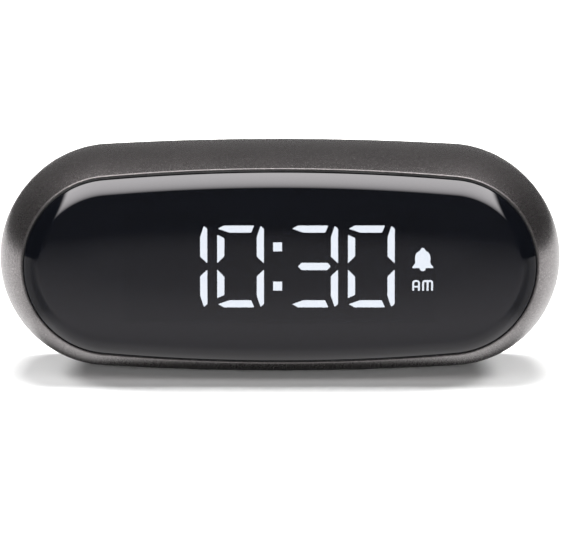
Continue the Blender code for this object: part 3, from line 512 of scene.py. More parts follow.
def solder_resist(name, colour):
    """Glossy resist over a board, with fine parallel tracks that show through it."""
    board = Finish(name, 0.35)
    tracks = board.tree.nodes.new("ShaderNodeTexWave")
    tracks.inputs["Scale"].default_value = 1 / (3.2 * MM)
    tracks.inputs["Distortion"].default_value = 6.0
    tracks.inputs["Detail Scale"].default_value = 0.4
    board.tree.links.new(board.coordinates, tracks.inputs["Vector"])
    copper = board.span(tracks.outputs["Fac"], 0.78, 0.86, 0.0, 1.0)
    weave = board.noise(0.5 * MM, 2.0)
    base = board.blend(weave, shade(colour, 0.8), colour)
    board.link(board.blend(copper, base, shade(colour, 1.7)), "Base Color")
    board.link(board.span(weave, 0.3, 0.7, 0.3, 0.42), "Roughness")
    board.bump(copper, 0.02 * MM)
    return board.material


def striped_rubber(name, colour):
    """Conductive and plain rubber in thin turns."""
    rubber = Finish(name, 0.7)
    split = rubber.tree.nodes.new("ShaderNodeSeparateXYZ")
    rubber.tree.links.new(rubber.coordinates, split.inputs["Vector"])
    turns = rubber.calculate("PINGPONG", split.outputs["X"], 0.3 * MM)
    stripe = rubber.span(turns, 0.1 * MM, 0.2 * MM, 0.0, 1.0)
    rubber.link(rubber.blend(stripe, shade(colour, 0.4), shade(colour, 3.0)), "Base Color")
    rubber.bump(rubber.noise(0.3 * MM), 0.02 * MM)
    return rubber.material


# Colour, roughness, size and depth of the grain, and how far the colour varies.
MOULDED = {
    "cover_plastic": ((0.040, 0.038, 0.039), 0.5, 0.28 * MM, 0.03 * MM),
    "black_plastic": ((0.010, 0.010, 0.011), 0.5, 0.3 * MM, 0.015 * MM),
    "button_plastic": ((0.055, 0.053, 0.055), 0.38, 0.2 * MM, 0.008 * MM),
    "plunger_plastic": ((0.35, 0.05, 0.04), 0.45, 0.25 * MM, 0.01 * MM),
    "pad_rubber": ((0.02, 0.02, 0.02), 0.82, 0.4 * MM, 0.06 * MM, 0.4),
    "foam_tape": ((0.03, 0.03, 0.03), 0.9, 0.15 * MM, 0.08 * MM, 0.5),
    "reflector_film": ((0.86, 0.86, 0.86), 0.6, 0.5 * MM, 0.01 * MM, 0.04),
    "lead_white": ((0.66, 0.66, 0.64), 0.42, 0.6 * MM, 0.01 * MM, 0.08),
    "lead_red": ((0.5, 0.03, 0.03), 0.42, 0.6 * MM, 0.01 * MM, 0.12),
    "lead_black": ((0.02, 0.02, 0.02), 0.42, 0.6 * MM, 0.01 * MM, 0.3),
}

# Colour, roughness, and how far the tool lines are squeezed along each axis.
PLATED = {
    "screw_steel": ((0.45, 0.45, 0.46), 0.32),
    "can_aluminium": ((0.7, 0.7, 0.72), 0.3, (1.0, 6.0, 1.0)),
    "piezo_brass": ((0.78, 0.6, 0.28), 0.3),
    "contact_nickel": ((0.62, 0.6, 0.56), 0.26, (1.0, 1.0, 8.0)),
    "pad_copper": ((0.72, 0.4, 0.25), 0.34, (6.0, 1.0, 1.0)),
}


def make_surfaces():
    """One material for each slot of the record."""
    surfaces = {
        "gunmetal_paint": gunmetal_paint(),
        "smoked_acrylic": smoked_window(),
        "lit_white": lit_white(),
        "cell_sleeve": cell_sleeve(),
        "polariser_film": clear_sheet("polariser_film", (0.012, 0.012, 0.014), 0.0, 0.18),
        "display_glass": clear_sheet("display_glass", (0.75, 0.78, 0.8), 1.0, 0.02),
        "guide_acrylic": clear_sheet("guide_acrylic", (0.85, 0.88, 0.9), 0.8, 0.06),
        "zebra_rubber": striped_rubber("zebra_rubber", (0.05, 0.05, 0.05)),
        "board_green": solder_resist("board_green", (0.03, 0.16, 0.08)),
    }
    for name, look in MOULDED.items():
        surfaces[name] = moulded_plastic(name, *look)
    for name, look in PLATED.items():
        surfaces[name] = plated_metal(name, *look)
    return surfaces


def cell_sleeve():
    """A plain dark sleeve, shrunk tight over a steel can, so it is a little uneven."""
    sleeve = Finish("cell_sleeve", 0.28)
    fine = sleeve.noise(0.8 * MM, 3.0)
    sleeve.link(sleeve.blend(fine, (0.022, 0.026, 0.034), (0.034, 0.039, 0.05)), "Base Color")
    sleeve.link(sleeve.span(fine, 0.3, 0.7, 0.22, 0.34), "Roughness")
    sleeve.set(Coat_Weight=0.3, Coat_Roughness=0.1)
    sleeve.bump(sleeve.noise(2.5 * MM), 0.02 * MM)
    return sleeve.material


def dress_nodes(surfaces):
    """Gives every CAD node the material of its slot."""
    for part in frame["record"]["subparts"]:
        mesh = frame["nodes"][part["node"]].data
        mesh.materials.clear()
        mesh.materials.append(surfaces[part["material_slot"]])


# Front


def lip_profile():
    """(depth, inset) points round the lip, from the swollen wall over its nose to the pocket."""
    lean = math.atan(LIP_LEAN)
    centre = 1 / math.cos(lean) - math.tan(lean)
    radius = POCKET_INSET / (1 + centre)
    points = []
    for i in range(9):
        turn = lean + (math.pi - lean) * i / 8
        points.append((LIP_DEPTH + radius * (1 - math.sin(turn)), radius * (centre - math.cos(turn))))
    return points


def make_casing(surfaces):
    """The one-piece sleeve: lip, pocket, ledge, swollen wall, rounded back and rear opening."""
    ledge_back = LEDGE_DEPTH + LEDGE_THICKNESS
    rear_inner = REAR_DEPTH - REAR_WALL
    rings = [lip_ring(ledge_back, LEDGE_INSET), lip_ring(LEDGE_DEPTH, LEDGE_INSET)]
    rings.append(lip_ring(LEDGE_DEPTH, POCKET_INSET))
    rings += [lip_ring(depth, inset) for depth, inset in reversed(lip_profile())]
    swell_start = LIP_DEPTH + 0.25 * MM
    for i in range(22):
        rings.append(casing_ring(swell_start + (WIDEST_DEPTH - swell_start) * (i / 22) ** 1.3))
    rings += [tuck_ring(turn) for turn in quarter(26)]
    half_width = LIP_HALF_WIDTH + SWELL_SIDE - REAR_TUCK_SIDE
    rim_share = (half_width - OPENING_HALF_WIDTH - 0.3 * MM) / half_width
    rings.append(opening_ring(REAR_DEPTH, -rim_share * half_width))
    for turn in quarter(4):
        inset = -REAR_EDGE * (1 - math.sin(turn))
        rings.append(opening_ring(REAR_DEPTH - REAR_EDGE * (1 - math.cos(turn)), inset))
    rings.append(opening_ring(rear_inner))
    rings += [tuck_ring(turn, WALL) for turn in (1.15, 0.7, 0.35, 0.0)]
    rings += [casing_ring(12 * MM, WALL), casing_ring(ledge_back, WALL)]
    casing = make_piece(
        "casing", loft(rings, hollow=True), surfaces["gunmetal_paint"], "clock", ["housing"]
    )
    pad_low, pad_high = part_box("base_pad")
    clearance = Vector((1, 1, 1)) * PAD_CLEARANCE
    recess = bmesh.new()
    upright = add_box(recess, pad_low - clearance - Vector((0, 0, MM)), pad_high + clearance)
    corners = {edge for vert in upright for edge in vert.link_edges if abs(rise(edge).z) > 1e-5}
    bmesh.ops.bevel(
        recess, geom=list(corners), offset=PAD_CORNER, affect="EDGES", segments=10, profile=0.5, material=-1
    )
    cut_away(casing, recess)


def window_face(inset):
    """Depth of the window's outer face at this distance in from its edge."""
    crown = WINDOW_CROWN * (1 - inset / WINDOW_CROWN_INSET) ** 2
    if inset >= WINDOW_SHOULDER_WIDTH:
        return crown
    return crown + WINDOW_SHOULDER * (1 - inset / WINDOW_SHOULDER_WIDTH) ** WINDOW_ROUNDNESS


def make_window(surfaces):
    """The smoked window: a domed shell with a flat flange behind its edge."""
    flange_inset = WINDOW_EDGE + WINDOW_FLANGE
    rings = []
    inner_steps = 10
    for i in range(inner_steps):
        inset = WINDOW_CROWN_INSET + (3.0 * MM - WINDOW_CROWN_INSET) * i / (inner_steps - 1)
        rings.append(window_ring(window_face(inset) + WINDOW_THICKNESS, WINDOW_EDGE + inset))
    rings.append(window_ring(WINDOW_REAR - 0.5 * MM, flange_inset))
    rings.append(window_ring(WINDOW_REAR, flange_inset))
    rings.append(window_ring(WINDOW_REAR, WINDOW_EDGE))
    rings.append(window_ring(window_face(0.0) + 0.06 * MM, WINDOW_EDGE))
    shoulder_steps = 16
    for i in range(shoulder_steps + 1):
        inset = 0.04 * MM + (WINDOW_SHOULDER_WIDTH - 0.04 * MM) * i / shoulder_steps
        rings.append(window_ring(window_face(inset), WINDOW_EDGE + inset))
    crown_steps = 14
    for i in range(1, crown_steps + 1):
        inset = WINDOW_SHOULDER_WIDTH + (WINDOW_CROWN_INSET - WINDOW_SHOULDER_WIDTH) * i / crown_steps
        rings.append(window_ring(window_face(inset), WINDOW_EDGE + inset))
    make_piece(
        "smoked_window", loft(rings), surfaces["smoked_acrylic"], "clock", ["front_lens"]
    )


def make_gasket(surfaces):
    """The thin bead that closes the gap between the window and the lip."""
    near, far = LIP_DEPTH + 0.22 * MM, WINDOW_REAR
    outer, inner = POCKET_INSET + 0.02 * MM, WINDOW_EDGE - 0.02 * MM
    rings = [lip_ring(near, outer), lip_ring(far, outer), window_ring(far, inner), window_ring(near, inner)]
    make_piece("window_gasket", loft(rings, hollow=True), surfaces["foam_tape"], "clock")


# Display signs. A digit's strokes are outlines in the digit's own frame, with its middle at 0, 0.


def digit_strokes():
    """The outline of each stroke, named by where it is."""
    w, h, s = DIGIT_HALF_WIDTH, DIGIT_HALF_HEIGHT, STROKE
    tip = 0.5 * MM
    half = 0.51 * s
    top = [(0.14 * MM - w, h - tip), (1.06 * MM - w, h), (w - 1.53 * MM, h)]
    top += [(w - 2.01 * MM, h - s), (1.9 * MM - w, h - s)]
    upper_left = [(-w, h - 1.46 * MM), (s - w, h - 1.97 * MM), (s - w, 1.62 * MM), (-w, tip)]
    upper_right = [(w - 0.53 * MM, h - 0.08 * MM), (w, h - tip), (w, tip)]
    upper_right += [(w - s, 1.55 * MM), (w - s, h - 1.83 * MM)]
    middle = [(1.03 * MM - w, 0), (1.6 * MM - w, half), (w - 1.6 * MM, half)]
    middle += [(w - 1.17 * MM, 0), (w - 1.7 * MM, -half), (1.6 * MM - w, -half)]
    strokes = {"top": top, "upper_left": upper_left, "upper_right": upper_right, "middle": middle}
    for upper, lower in (("top", "bottom"), ("upper_left", "lower_left"), ("upper_right", "lower_right")):
        strokes[lower] = [(x, -height) for x, height in strokes[upper]]
    return strokes


DIGITS = {
    "0": ("top", "upper_left", "upper_right", "lower_left", "lower_right", "bottom"),
    "1": ("upper_right", "lower_right"),
    "3": ("top", "upper_right", "middle", "lower_right", "bottom"),
}


def sign_piece(name, bm, surfaces):
    return make_piece(name, bm, surfaces["lit_white"], "clock")


def add_sign(bm, outline, x, height):
    moved = [(x + point[0], height + point[1]) for point in outline]
    add_plate(bm, moved, SIGN_DEPTH, SIGN_DEPTH + SIGN_THICKNESS)


def make_digit(name, number, x, surfaces):
    strokes = digit_strokes()
    bm = bmesh.new()
    for stroke in DIGITS[number]:
        add_sign(bm, strokes[stroke], x, DISPLAY_HEIGHT)
    upright = [edge for edge in bm.edges if abs(rise(edge).y) > SIGN_THICKNESS / 2]
    bmesh.ops.bevel(
        bm, geom=upright, offset=0.12 * MM, affect="EDGES", segments=3, profile=0.5, material=-1
    )
    sign_piece(name, bm, surfaces)


def make_colon(surfaces):
    bm = bmesh.new()
    for rise in (-COLON_RISE, COLON_RISE):
        square = [(-COLON_HALF, -COLON_HALF), (COLON_HALF, -COLON_HALF)]
        square += [(COLON_HALF, COLON_HALF), (-COLON_HALF, COLON_HALF)]
        add_sign(bm, square, COLON_X, DISPLAY_HEIGHT + rise)
    sign_piece("colon", bm, surfaces)


def arc(centre_x, centre_height, radius, start, end, steps):
    """(x, height) points on an arc. Angles are in degrees, from +X towards up."""
    points = []
    for i in range(steps + 1):
        angle = math.radians(start + (end - start) * i / steps)
        points.append((centre_x + radius * math.cos(angle), centre_height + radius * math.sin(angle)))
    return points


def bell_outline(size):
    """A hand bell: knob, dome, flared skirt and clapper, as wide as size."""
    u = size / 2
    right = arc(0, 0.92 * u, 0.2 * u, 90, 20, 4)
    right += arc(0, 0.14 * u, 0.75 * u, 66, 4, 6)
    right += arc(1.22 * u, -0.22 * u, 0.5 * u, 160, 224, 5)
    right += [(u, -0.72 * u), (u, -0.86 * u), (0.3 * u, -0.86 * u)]
    right += arc(0, -0.86 * u, 0.3 * u, -20, -90, 4)
    return right + [(-x, height) for x, height in reversed(right[1:-1])]


def add_stroke(bm, points, half_width, near, far):
    """A flat stroke of even width with square ends along (x, height) points."""
    left, right = [], []
    for i, (x, height) in enumerate(points):
        before, after = points[max(i - 1, 0)], points[min(i + 1, len(points) - 1)]
        along = Vector((after[0] - before[0], after[1] - before[1])).normalized()
        left.append((x - along.y * half_width, height + along.x * half_width))
        right.append((x + along.y * half_width, height - along.x * half_width))
    add_plate(bm, left + right[::-1], near, far)


def arch(x, low, high, half_width, radius):
    """Points up one leg, round two corners and down the other."""
    left = [(x - half_width, low)] + arc(x - half_width + radius, high - radius, radius, 180, 90, 4)
    right = arc(x + half_width - radius, high - radius, radius, 90, 0, 4) + [(x + half_width, low)]
    return left + right


def two_arches(left, right, low, high, pen):
    """The outline of two arches side by side on three legs, drawn with a pen of this half width."""
    middle = (left + right) / 2
    outer, inner = 0.42 * MM, 0.14 * MM
    points = [(left, low)] + arc(left + outer, high - outer, outer, 180, 90, 4)
    points += arc(right - outer, high - outer, outer, 90, 0, 4) + [(right, low)]
    crown = high - 2 * pen - inner
    for start, end in ((middle + pen, right - 2 * pen), (left + 2 * pen, middle - pen)):
        points += [(end, low)] + arc(end - inner, crown, inner, 0, 90, 3)
        points += arc(start + inner, crown, inner, 90, 180, 3) + [(start, low)]
    return points


def make_half_day_sign(surfaces):
    """The morning indicator: a squarish A, and an M of two arches."""
    half_height = 0.83 * MM
    pen = 0.145 * MM
    reach = half_height - pen
    far = SIGN_DEPTH + SIGN_THICKNESS
    bm = bmesh.new()
    low, high = HALF_DAY_HEIGHT - half_height, HALF_DAY_HEIGHT + reach
    a_x = SIGNS_X - 1.03 * MM
    add_stroke(bm, arch(a_x, low, high, 0.445 * MM, 0.31 * MM), pen, SIGN_DEPTH, far)
    bar_height = HALF_DAY_HEIGHT - 0.2 * MM
    bar = [(a_x - 0.42 * MM, bar_height), (a_x + 0.42 * MM, bar_height)]
    add_stroke(bm, bar, pen * 0.85, SIGN_DEPTH + 0.25 * SIGN_THICKNESS, far - 0.25 * SIGN_THICKNESS)
    m_outline = two_arches(SIGNS_X - 0.08 * MM, SIGNS_X + 1.62 * MM, low, high + pen, pen)
    add_plate(bm, m_outline, SIGN_DEPTH, far)
    sign_piece("half_day_sign", bm, surfaces)


def make_display(surfaces):
    places = (
        ("hour_tens", "1", COLON_X - COLON_GAP - DIGIT_PITCH),
        ("hour_units", "0", COLON_X - COLON_GAP),
        ("minute_tens", "3", COLON_X + COLON_GAP),
        ("minute_units", "0", COLON_X + COLON_GAP + DIGIT_PITCH),
    )
    for name, number, x in places:
        make_digit(name, number, x, surfaces)
    make_colon(surfaces)
    bell = bmesh.new()
    add_sign(bell, bell_outline(3.22 * MM), SIGNS_X, BELL_HEIGHT)
    sign_piece("alarm_sign", bell, surfaces)
    make_half_day_sign(surfaces)


# Rear


BUTTONS = ("time_set", "alarm_set", "up", "down")


def make_rear_panel(surfaces):
    bm = softened_copy("rear_cover", 0.12 * MM)
    make_piece("rear_panel", bm, surfaces["cover_plastic"], "clock", ["rear_cover"])
    bm = softened_copy("battery_door", 0.14 * MM)
    make_piece(
        "battery_lid", bm, surfaces["cover_plastic"], "battery_door", ["battery_door"]
    )
    bm = softened_copy("base_pad", 0.15 * MM)
    make_piece("rubber_foot", bm, surfaces["pad_rubber"], "clock", ["base_pad"])


def make_button_cap(name, surfaces):
    """A cap with a rounded rim and a shallow dish, on the same stem and flange as the CAD node."""
    low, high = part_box(f"{name}_button")
    length = high.y - low.y
    rim, flange = 2.3 * MM, (high.x - low.x) / 2
    flange_start = REAR_DEPTH - 2.8 * MM - (low.y - FRONT_Y)
    edge = 0.4 * MM
    profile = [(0, 0), (1.2 * MM, 0), (1.2 * MM, flange_start), (flange, flange_start)]
    profile += [(flange, flange_start + 0.8 * MM), (rim, flange_start + 0.8 * MM)]
    for turn in quarter(5):
        profile.append((rim - edge * (1 - math.cos(turn)), length - edge * (1 - math.sin(turn))))
    dish = 0.16 * MM
    for share in (0.85, 0.6, 0.3, 0.0):
        profile.append(((rim - edge) * share, length - dish * (1 - share**2)))
    centre = Vector(((low.x + high.x) / 2, low.y, (low.z + high.z) / 2))
    bm = bmesh.new()
    add_turned(bm, profile, centre, (0, 1, 0), 64)
    node = f"{name}_button"
    make_piece(f"{name}_cap", bm, surfaces["button_plastic"], node, [node])
    return centre.x, centre.z - MIDDLE_Z, high.y - FRONT_Y


def make_button_signs(name, x, height, top, surfaces):
    """A raised sign in the cap's dish: clock face, bell, plus or minus."""
    near, far = top - 0.3 * MM, top - 0.03 * MM
    pen = 0.13 * MM
    bm = bmesh.new()
    if name == "time_set":
        add_stroke(bm, arc(x, height, 1.05 * MM, 0, 359, 40), pen, near, far)
        add_stroke(bm, [(x, height - pen), (x, height + 0.72 * MM)], pen, near, far)
        add_stroke(bm, [(x - 0.5 * MM, height), (x - pen, height)], pen, near, far)
    elif name == "alarm_set":
        moved = [(x + point[0], height + point[1]) for point in bell_outline(2.0 * MM)]
        add_plate(bm, moved, near, far)
    else:
        add_stroke(bm, [(x - 0.95 * MM, height), (x + 0.95 * MM, height)], pen, near, far)
        if name == "up":
            for start, end in ((-0.95 * MM, -pen), (pen, 0.95 * MM)):
                add_stroke(bm, [(x, height + start), (x, height + end)], pen, near, far)
    make_piece(f"{name}_sign", bm, surfaces["lead_white"], f"{name}_button")


def make_lever(surfaces):
    """The alarm switch's lever, with grip ridges across its top."""
    low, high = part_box("alarm_switch_lever")
    ridges = 4
    pitch = (high.x - low.x - 0.4 * MM) / ridges
    start = low.x + 0.2 * MM
    outline = [(low.x, low.y), (low.x, high.y - 0.3 * MM), (start, high.y - 0.25 * MM)]
    for i in range(ridges):
        outline += [(start + pitch * (i + 0.25), high.y), (start + pitch * (i + 0.6), high.y)]
        if i < ridges - 1:
            outline.append((start + pitch * (i + 0.92), high.y - 0.25 * MM))
    outline += [(high.x - 0.2 * MM, high.y - 0.25 * MM), (high.x, high.y - 0.3 * MM)]
    outline.append((high.x, low.y))
    bm = bmesh.new()
    add_slab(bm, [(x, y, low.z) for x, y in outline], (0, 0, high.z - low.z))
    round_edges(bm, 0.05 * MM, 2)
    plastic = surfaces["button_plastic"]
    make_piece("switch_grip", bm, plastic, "alarm_switch", ["alarm_switch_lever"])


def make_cover_screw(side, surfaces):
    """A pan-head screw with a cross recess."""
    low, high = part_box(f"cover_screw_{side}")
    head = (high.x - low.x) / 2
    head_height = 0.7 * MM
    seat = high.y - head_height - low.y
    profile = [(0, 0), (0.25 * MM, 0), (0.5 * MM, 0.5 * MM), (0.5 * MM, seat), (head, seat)]
    profile += [(head, seat + 0.2 * MM)]
    for turn in quarter(6)[1:]:
        profile.append((head * max(math.cos(turn), 0.0) ** 0.5, seat + 0.2 * MM + 0.5 * MM * math.sin(turn)))
    profile[-1] = (0, seat + head_height)
    centre = Vector(((low.x + high.x) / 2, low.y, (low.z + high.z) / 2))
    bm = bmesh.new()
    add_turned(bm, profile, centre, (0, 1, 0), 48)
    screw = make_piece(
        f"panel_screw_{side}", bm, surfaces["screw_steel"], "clock", [f"cover_screw_{side}"]
    )
    cross = bmesh.new()
    arm, half = 0.85 * MM, 0.16 * MM
    outline = []
    for turn in range(4):
        for x, height in ((half, half), (arm, half), (arm, -half)):
            angle = -turn * math.pi / 2
            across = x * math.cos(angle) - height * math.sin(angle)
            up = x * math.sin(angle) + height * math.cos(angle)
            outline.append((centre.x + across, centre.z - MIDDLE_Z + up))
    depth = high.y - FRONT_Y
    add_plate(cross, outline, depth - 0.4 * MM, depth + 0.5 * MM)
    cut_away(screw, cross)


def make_lid_signs(surfaces):
    """Grip ribs in the thumb recess and an arrow that points the way the lid comes off."""
    low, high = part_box("battery_door")
    face = high.y - FRONT_Y
    edge_x = high.x
    ribs = bmesh.new()
    half, reach = 0.13 * MM, 2.4 * MM
    for x in (edge_x - 0.7 * MM, edge_x - 1.35 * MM, edge_x - 2.0 * MM):
        low_corner = place(x - half, face - 0.7 * MM, -reach)
        add_box(ribs, low_corner, place(x + half, face - 0.3 * MM, reach))
    round_edges(ribs, 0.08 * MM, 2)
    make_piece("thumb_ribs", ribs, surfaces["cover_plastic"], "battery_door")
    arrow = bmesh.new()
    tip = edge_x - 4.2 * MM
    outline = [(tip, 0), (tip - 1.9 * MM, 1.5 * MM), (tip - 1.9 * MM, -1.5 * MM)]
    add_plate(arrow, outline, face - 0.1 * MM, face + 0.12 * MM)
    round_edges(arrow, 0.06 * MM, 2)
    make_piece("lid_arrow", arrow, surfaces["cover_plastic"], "battery_door")


def make_rear(surfaces):
    make_rear_panel(surfaces)
    for name in BUTTONS:
        x, height, top = make_button_cap(name, surfaces)
        make_button_signs(name, x, height, top, surfaces)
    make_lever(surfaces)
    for side in ("left", "right"):
        make_cover_screw(side, surfaces)
    make_lid_signs(surfaces)


# Battery cells


def make_cell(node, surfaces):
    """A cell with a rolled shoulder, a shrunk sleeve edge and a raised positive end."""
    low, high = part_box(node)
    length = high.x - low.x
    radius = (high.z - low.z) / 2
    axis = -1 if node == "cell_lower" else 1
    start = Vector((low.x if axis > 0 else high.x, (low.y + high.y) / 2, (low.z + high.z) / 2))
    shoulder = length - 0.8 * MM
    profile = [(0, 0.25 * MM), (radius * 0.55, 0.25 * MM), (radius * 0.62, 0), (radius * 0.84, 0)]
    for turn in quarter(4):
        profile.append((radius * 0.88 + radius * 0.12 * math.sin(turn), 0.6 * MM * (1 - math.cos(turn))))
    for turn in quarter(4):
        reach = radius * 0.88 + radius * 0.12 * math.cos(turn)
        profile.append((reach, shoulder - 0.6 * MM + 0.6 * MM * math.sin(turn)))
    profile += [(radius * 0.62, shoulder), (radius * 0.58, shoulder - 0.15 * MM)]
    profile += [(radius * 0.38, shoulder - 0.15 * MM), (radius * 0.36, length - 0.2 * MM)]
    profile += [(radius * 0.31, length), (0, length)]
    bm = bmesh.new()
    add_turned(bm, profile, start, (axis, 0, 0), 72)
    make_piece(f"{node}_sleeve", bm, surfaces["cell_sleeve"], "clock", [node])


# Studio


FLOOR_RADIUS = 6.0
FLOOR_GLOW = 1.15
FLOOR_FADE = 0.085
SHADE_HALF_WIDTH = 0.044
SHADE_HALF_DEPTH = 0.0165
SHADE_CENTRE = 0.002
OVERHEAD_GLOW = 8.5
ROOM_GLOW = 0.1
REAR_GLOW = 0.03
CAMERA_DISTANCE = 0.650
CAMERA_ELEVATION = math.radians(7.0)
CAMERA_LENS = 266.8
CAMERA_SHIFT = (0.00446, 0.0035)


def make_floor():
    """White paper. In gloss it shows a painted reflection instead of its own: a painted glow, bright beside
    the clock and dim towards the front, with a painted shadow under the clock.
    """
    paper = Finish("floor_paper", 0.9)
    paper.set(Specular_IOR_Level=0.0)
    split = paper.tree.nodes.new("ShaderNodeSeparateXYZ")
    paper.tree.links.new(paper.coordinates, split.inputs["Vector"])
    # Painted reflection: gloss sees the paper black, lit only by the painted glow worked out below, brightest
    # next to the clock and fading towards the front.
    in_gloss = paper.tree.nodes.new("ShaderNodeLightPath").outputs["Is Glossy Ray"]
    tone = paper.blend(paper.noise(0.25, 2.0), (0.78, 0.78, 0.78), (0.8, 0.8, 0.8))
    paper.link(paper.blend(in_gloss, tone, (0.0, 0.0, 0.0)), "Base Color")

    across = paper.calculate("ABSOLUTE", split.outputs["X"], 0.0)
    behind = paper.calculate("SUBTRACT", split.outputs["Y"], FRONT_Y)
    ahead = paper.calculate("MAXIMUM", paper.calculate("MULTIPLY", behind, -1.0), 0.0)
    spread = paper.calculate("ADD", paper.calculate("DIVIDE", ahead, FLOOR_FADE), 1.0)
    glow = paper.calculate("ADD", paper.calculate("DIVIDE", FLOOR_GLOW, spread), ROOM_GLOW)

    beside = paper.span(across, 0.04, 0.055, 0.0, 1.0)
    bearing = paper.calculate("DIVIDE", behind, across)
    level = paper.calculate(
        "MULTIPLY", paper.span(bearing, 0.15, 0.45, 0.62, 0.0), paper.span(bearing, -0.65, 0.0, 0.0, 1.0)
    )
    rear = paper.span(bearing, 0.3, 0.65, 0.0, 0.2)
    change = paper.calculate("MULTIPLY", beside, paper.calculate("SUBTRACT", rear, level))
    glow = paper.calculate("MULTIPLY", glow, paper.calculate("ADD", change, 1.0))

    # Painted shadow: the glow is dimmed under the clock and a little in front of it, where its contact shadow
    # falls.
    painted_shade_in_front = paper.calculate(
        "MULTIPLY", paper.span(behind, 0.002, 0.006, 1.0, 0.0), paper.span(ahead, 0.003, 0.03, 0.3, 0.0)
    )
    long_way = paper.calculate("POWER", paper.calculate("DIVIDE", across, SHADE_HALF_WIDTH), 2.0)
    from_centre = paper.calculate("SUBTRACT", split.outputs["Y"], SHADE_CENTRE)
    short_way = paper.calculate("DIVIDE", from_centre, SHADE_HALF_DEPTH)
    from_middle = paper.calculate("ADD", long_way, paper.calculate("MULTIPLY", short_way, short_way))
    painted_shade_under = paper.span(from_middle, 0.7, 1.25, 0.02, 1.0)
    painted_shadow = paper.calculate("MULTIPLY", painted_shade_under, paper.calculate("SUBTRACT", 1.0, painted_shade_in_front))
    glow = paper.calculate("MULTIPLY", glow, painted_shadow)
    paper.link(paper.calculate("MULTIPLY", glow, in_gloss), "Emission Strength")
    paper.set(Emission_Color=(1.0, 0.99, 0.985, 1.0))
    bm = bmesh.new()
    bmesh.ops.create_circle(bm, cap_ends=True, segments=128, radius=FLOOR_RADIUS)
    floor = bpy.data.objects.new("floor", make_mesh("floor", bm))
    floor.data.materials.append(paper.material)
    bpy.context.collection.objects.link(floor)


def add_lamp(name, azimuth, elevation, distance, energy, size, size_y):
    """A soft lamp that faces the origin. Its azimuth turns from the rear towards +X, in degrees."""
    data = bpy.data.lights.new(name, "AREA")
    data.energy = energy
    data.shape = "RECTANGLE"
    data.size = size
    data.size_y = size_y
    lamp = bpy.data.objects.new(name, data)
    round_it, up = math.radians(azimuth), math.radians(elevation)
    level = math.cos(up)
    away = Vector((level * math.sin(round_it), level * math.cos(round_it), math.sin(up)))
    lamp.location = away * distance
    lamp.rotation_mode = "QUATERNION"
    lamp.rotation_quaternion = away.to_track_quat("Z", "Y")
    lamp.visible_camera = False
    lamp.visible_glossy = False
    bpy.context.collection.objects.link(lamp)


def make_lamps():
    add_lamp("key", 0, 76.5, 1.6, 46.0, 0.9, 0.7)
    add_lamp("front", 180, 45, 1.8, 12.0, 2.0, 1.2)
    add_lamp("low_strip", 180, 7, 1.5, 31.0, 1.6, 0.26)
    for name, azimuth in (("left", -60), ("right", 60)):
        add_lamp(name, azimuth, 40, 1.6, 20.0, 0.5, 0.5)


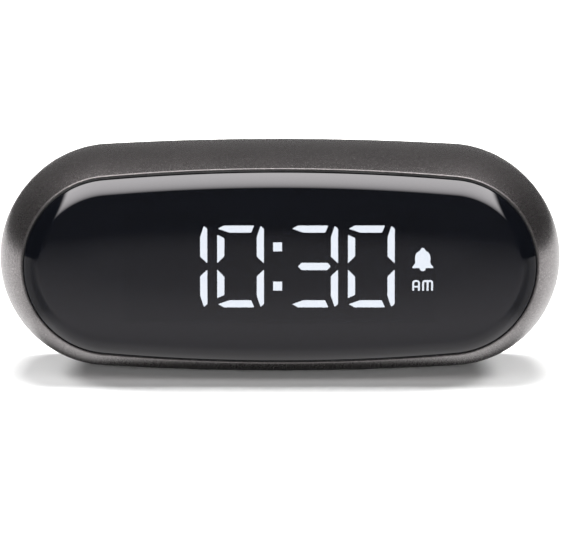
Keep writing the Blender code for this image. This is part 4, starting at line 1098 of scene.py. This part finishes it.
def make_reflections():
    """What gloss mirrors: a soft light overhead that reaches forwards, in a dim room. The eye sees white."""
    world = bpy.data.worlds.new("studio")
    bpy.context.scene.world = world
    world.use_nodes = True
    world.cycles_visibility.diffuse = False
    tree = world.node_tree
    nodes, links = tree.nodes, tree.links
    split = nodes.new("ShaderNodeSeparateXYZ")
    links.new(nodes.new("ShaderNodeTexCoord").outputs["Generated"], split.inputs["Vector"])

    def calculate(operation, first, second=0.0):
        node = nodes.new("ShaderNodeMath")
        node.operation = operation
        for socket, value in zip(node.inputs, (first, second)):
            if isinstance(value, float):
                socket.default_value = value
            else:
                links.new(value, socket)
        return node.outputs["Value"]

    def step(value, low, high):
        node = nodes.new("ShaderNodeMapRange")
        node.interpolation_type = "SMOOTHSTEP"
        node.inputs["From Min"].default_value = low
        node.inputs["From Max"].default_value = high
        links.new(value, node.inputs["Value"])
        return node.outputs["Result"]

    up = calculate("MAXIMUM", split.outputs["Z"], 0.001)
    across = calculate("ABSOLUTE", calculate("DIVIDE", split.outputs["X"], up))
    along = calculate("DIVIDE", split.outputs["Y"], up)
    widening = calculate("SUBTRACT", 0.852, calculate("MULTIPLY", along, 0.612))
    reach = calculate("DIVIDE", across, calculate("MAXIMUM", widening, 0.1))
    mask = calculate("SUBTRACT", 1.0, step(reach, 0.88, 1.12))
    mask = calculate("MULTIPLY", mask, calculate("SUBTRACT", 1.0, step(along, 0.16, 0.48)))
    mask = calculate("MULTIPLY", mask, step(along, -1.35, 0.0))
    rear = calculate("MULTIPLY", calculate("SUBTRACT", 1.0, step(across, 0.6, 2.0)), step(along, -0.2, 0.5))
    beside = step(calculate("ABSOLUTE", split.outputs["X"]), 0.35, 0.8)
    room = calculate("MULTIPLY", calculate("SUBTRACT", 1.0, calculate("MULTIPLY", beside, 0.6)), ROOM_GLOW)
    strength = calculate("ADD", calculate("MULTIPLY", mask, OVERHEAD_GLOW), room)
    strength = calculate("ADD", strength, calculate("MULTIPLY", rear, REAR_GLOW))
    eye = nodes.new("ShaderNodeLightPath").outputs["Is Camera Ray"]
    mix = nodes.new("ShaderNodeMix")
    links.new(eye, mix.inputs["Factor"])
    links.new(strength, mix.inputs["A"])
    mix.inputs["B"].default_value = 1.0
    links.new(mix.outputs["Result"], nodes["Background"].inputs["Strength"])
    nodes["Background"].inputs["Color"].default_value = (1.0, 0.995, 0.985, 1.0)


def make_camera():
    data = bpy.data.cameras.new("camera")
    data.lens = CAMERA_LENS
    data.shift_x, data.shift_y = CAMERA_SHIFT
    data.clip_start = 0.01
    camera = bpy.data.objects.new("camera", data)
    target = place(0, 0, 0)
    back = Vector((0, -math.cos(CAMERA_ELEVATION), math.sin(CAMERA_ELEVATION)))
    camera.location = target + back * CAMERA_DISTANCE
    camera.rotation_mode = "QUATERNION"
    camera.rotation_quaternion = (-back).to_track_quat("-Z", "Y")
    bpy.context.collection.objects.link(camera)
    bpy.context.scene.camera = camera


def make_scene():
    surfaces = make_surfaces()
    dress_nodes(surfaces)
    make_casing(surfaces)
    make_window(surfaces)
    make_gasket(surfaces)
    make_display(surfaces)
    make_rear(surfaces)
    for node in ("cell_lower", "cell_upper"):
        make_cell(node, surfaces)
    make_floor()
    make_lamps()
    make_reflections()
    make_camera()
    bpy.context.scene.view_settings.view_transform = "Standard"


make_scene()
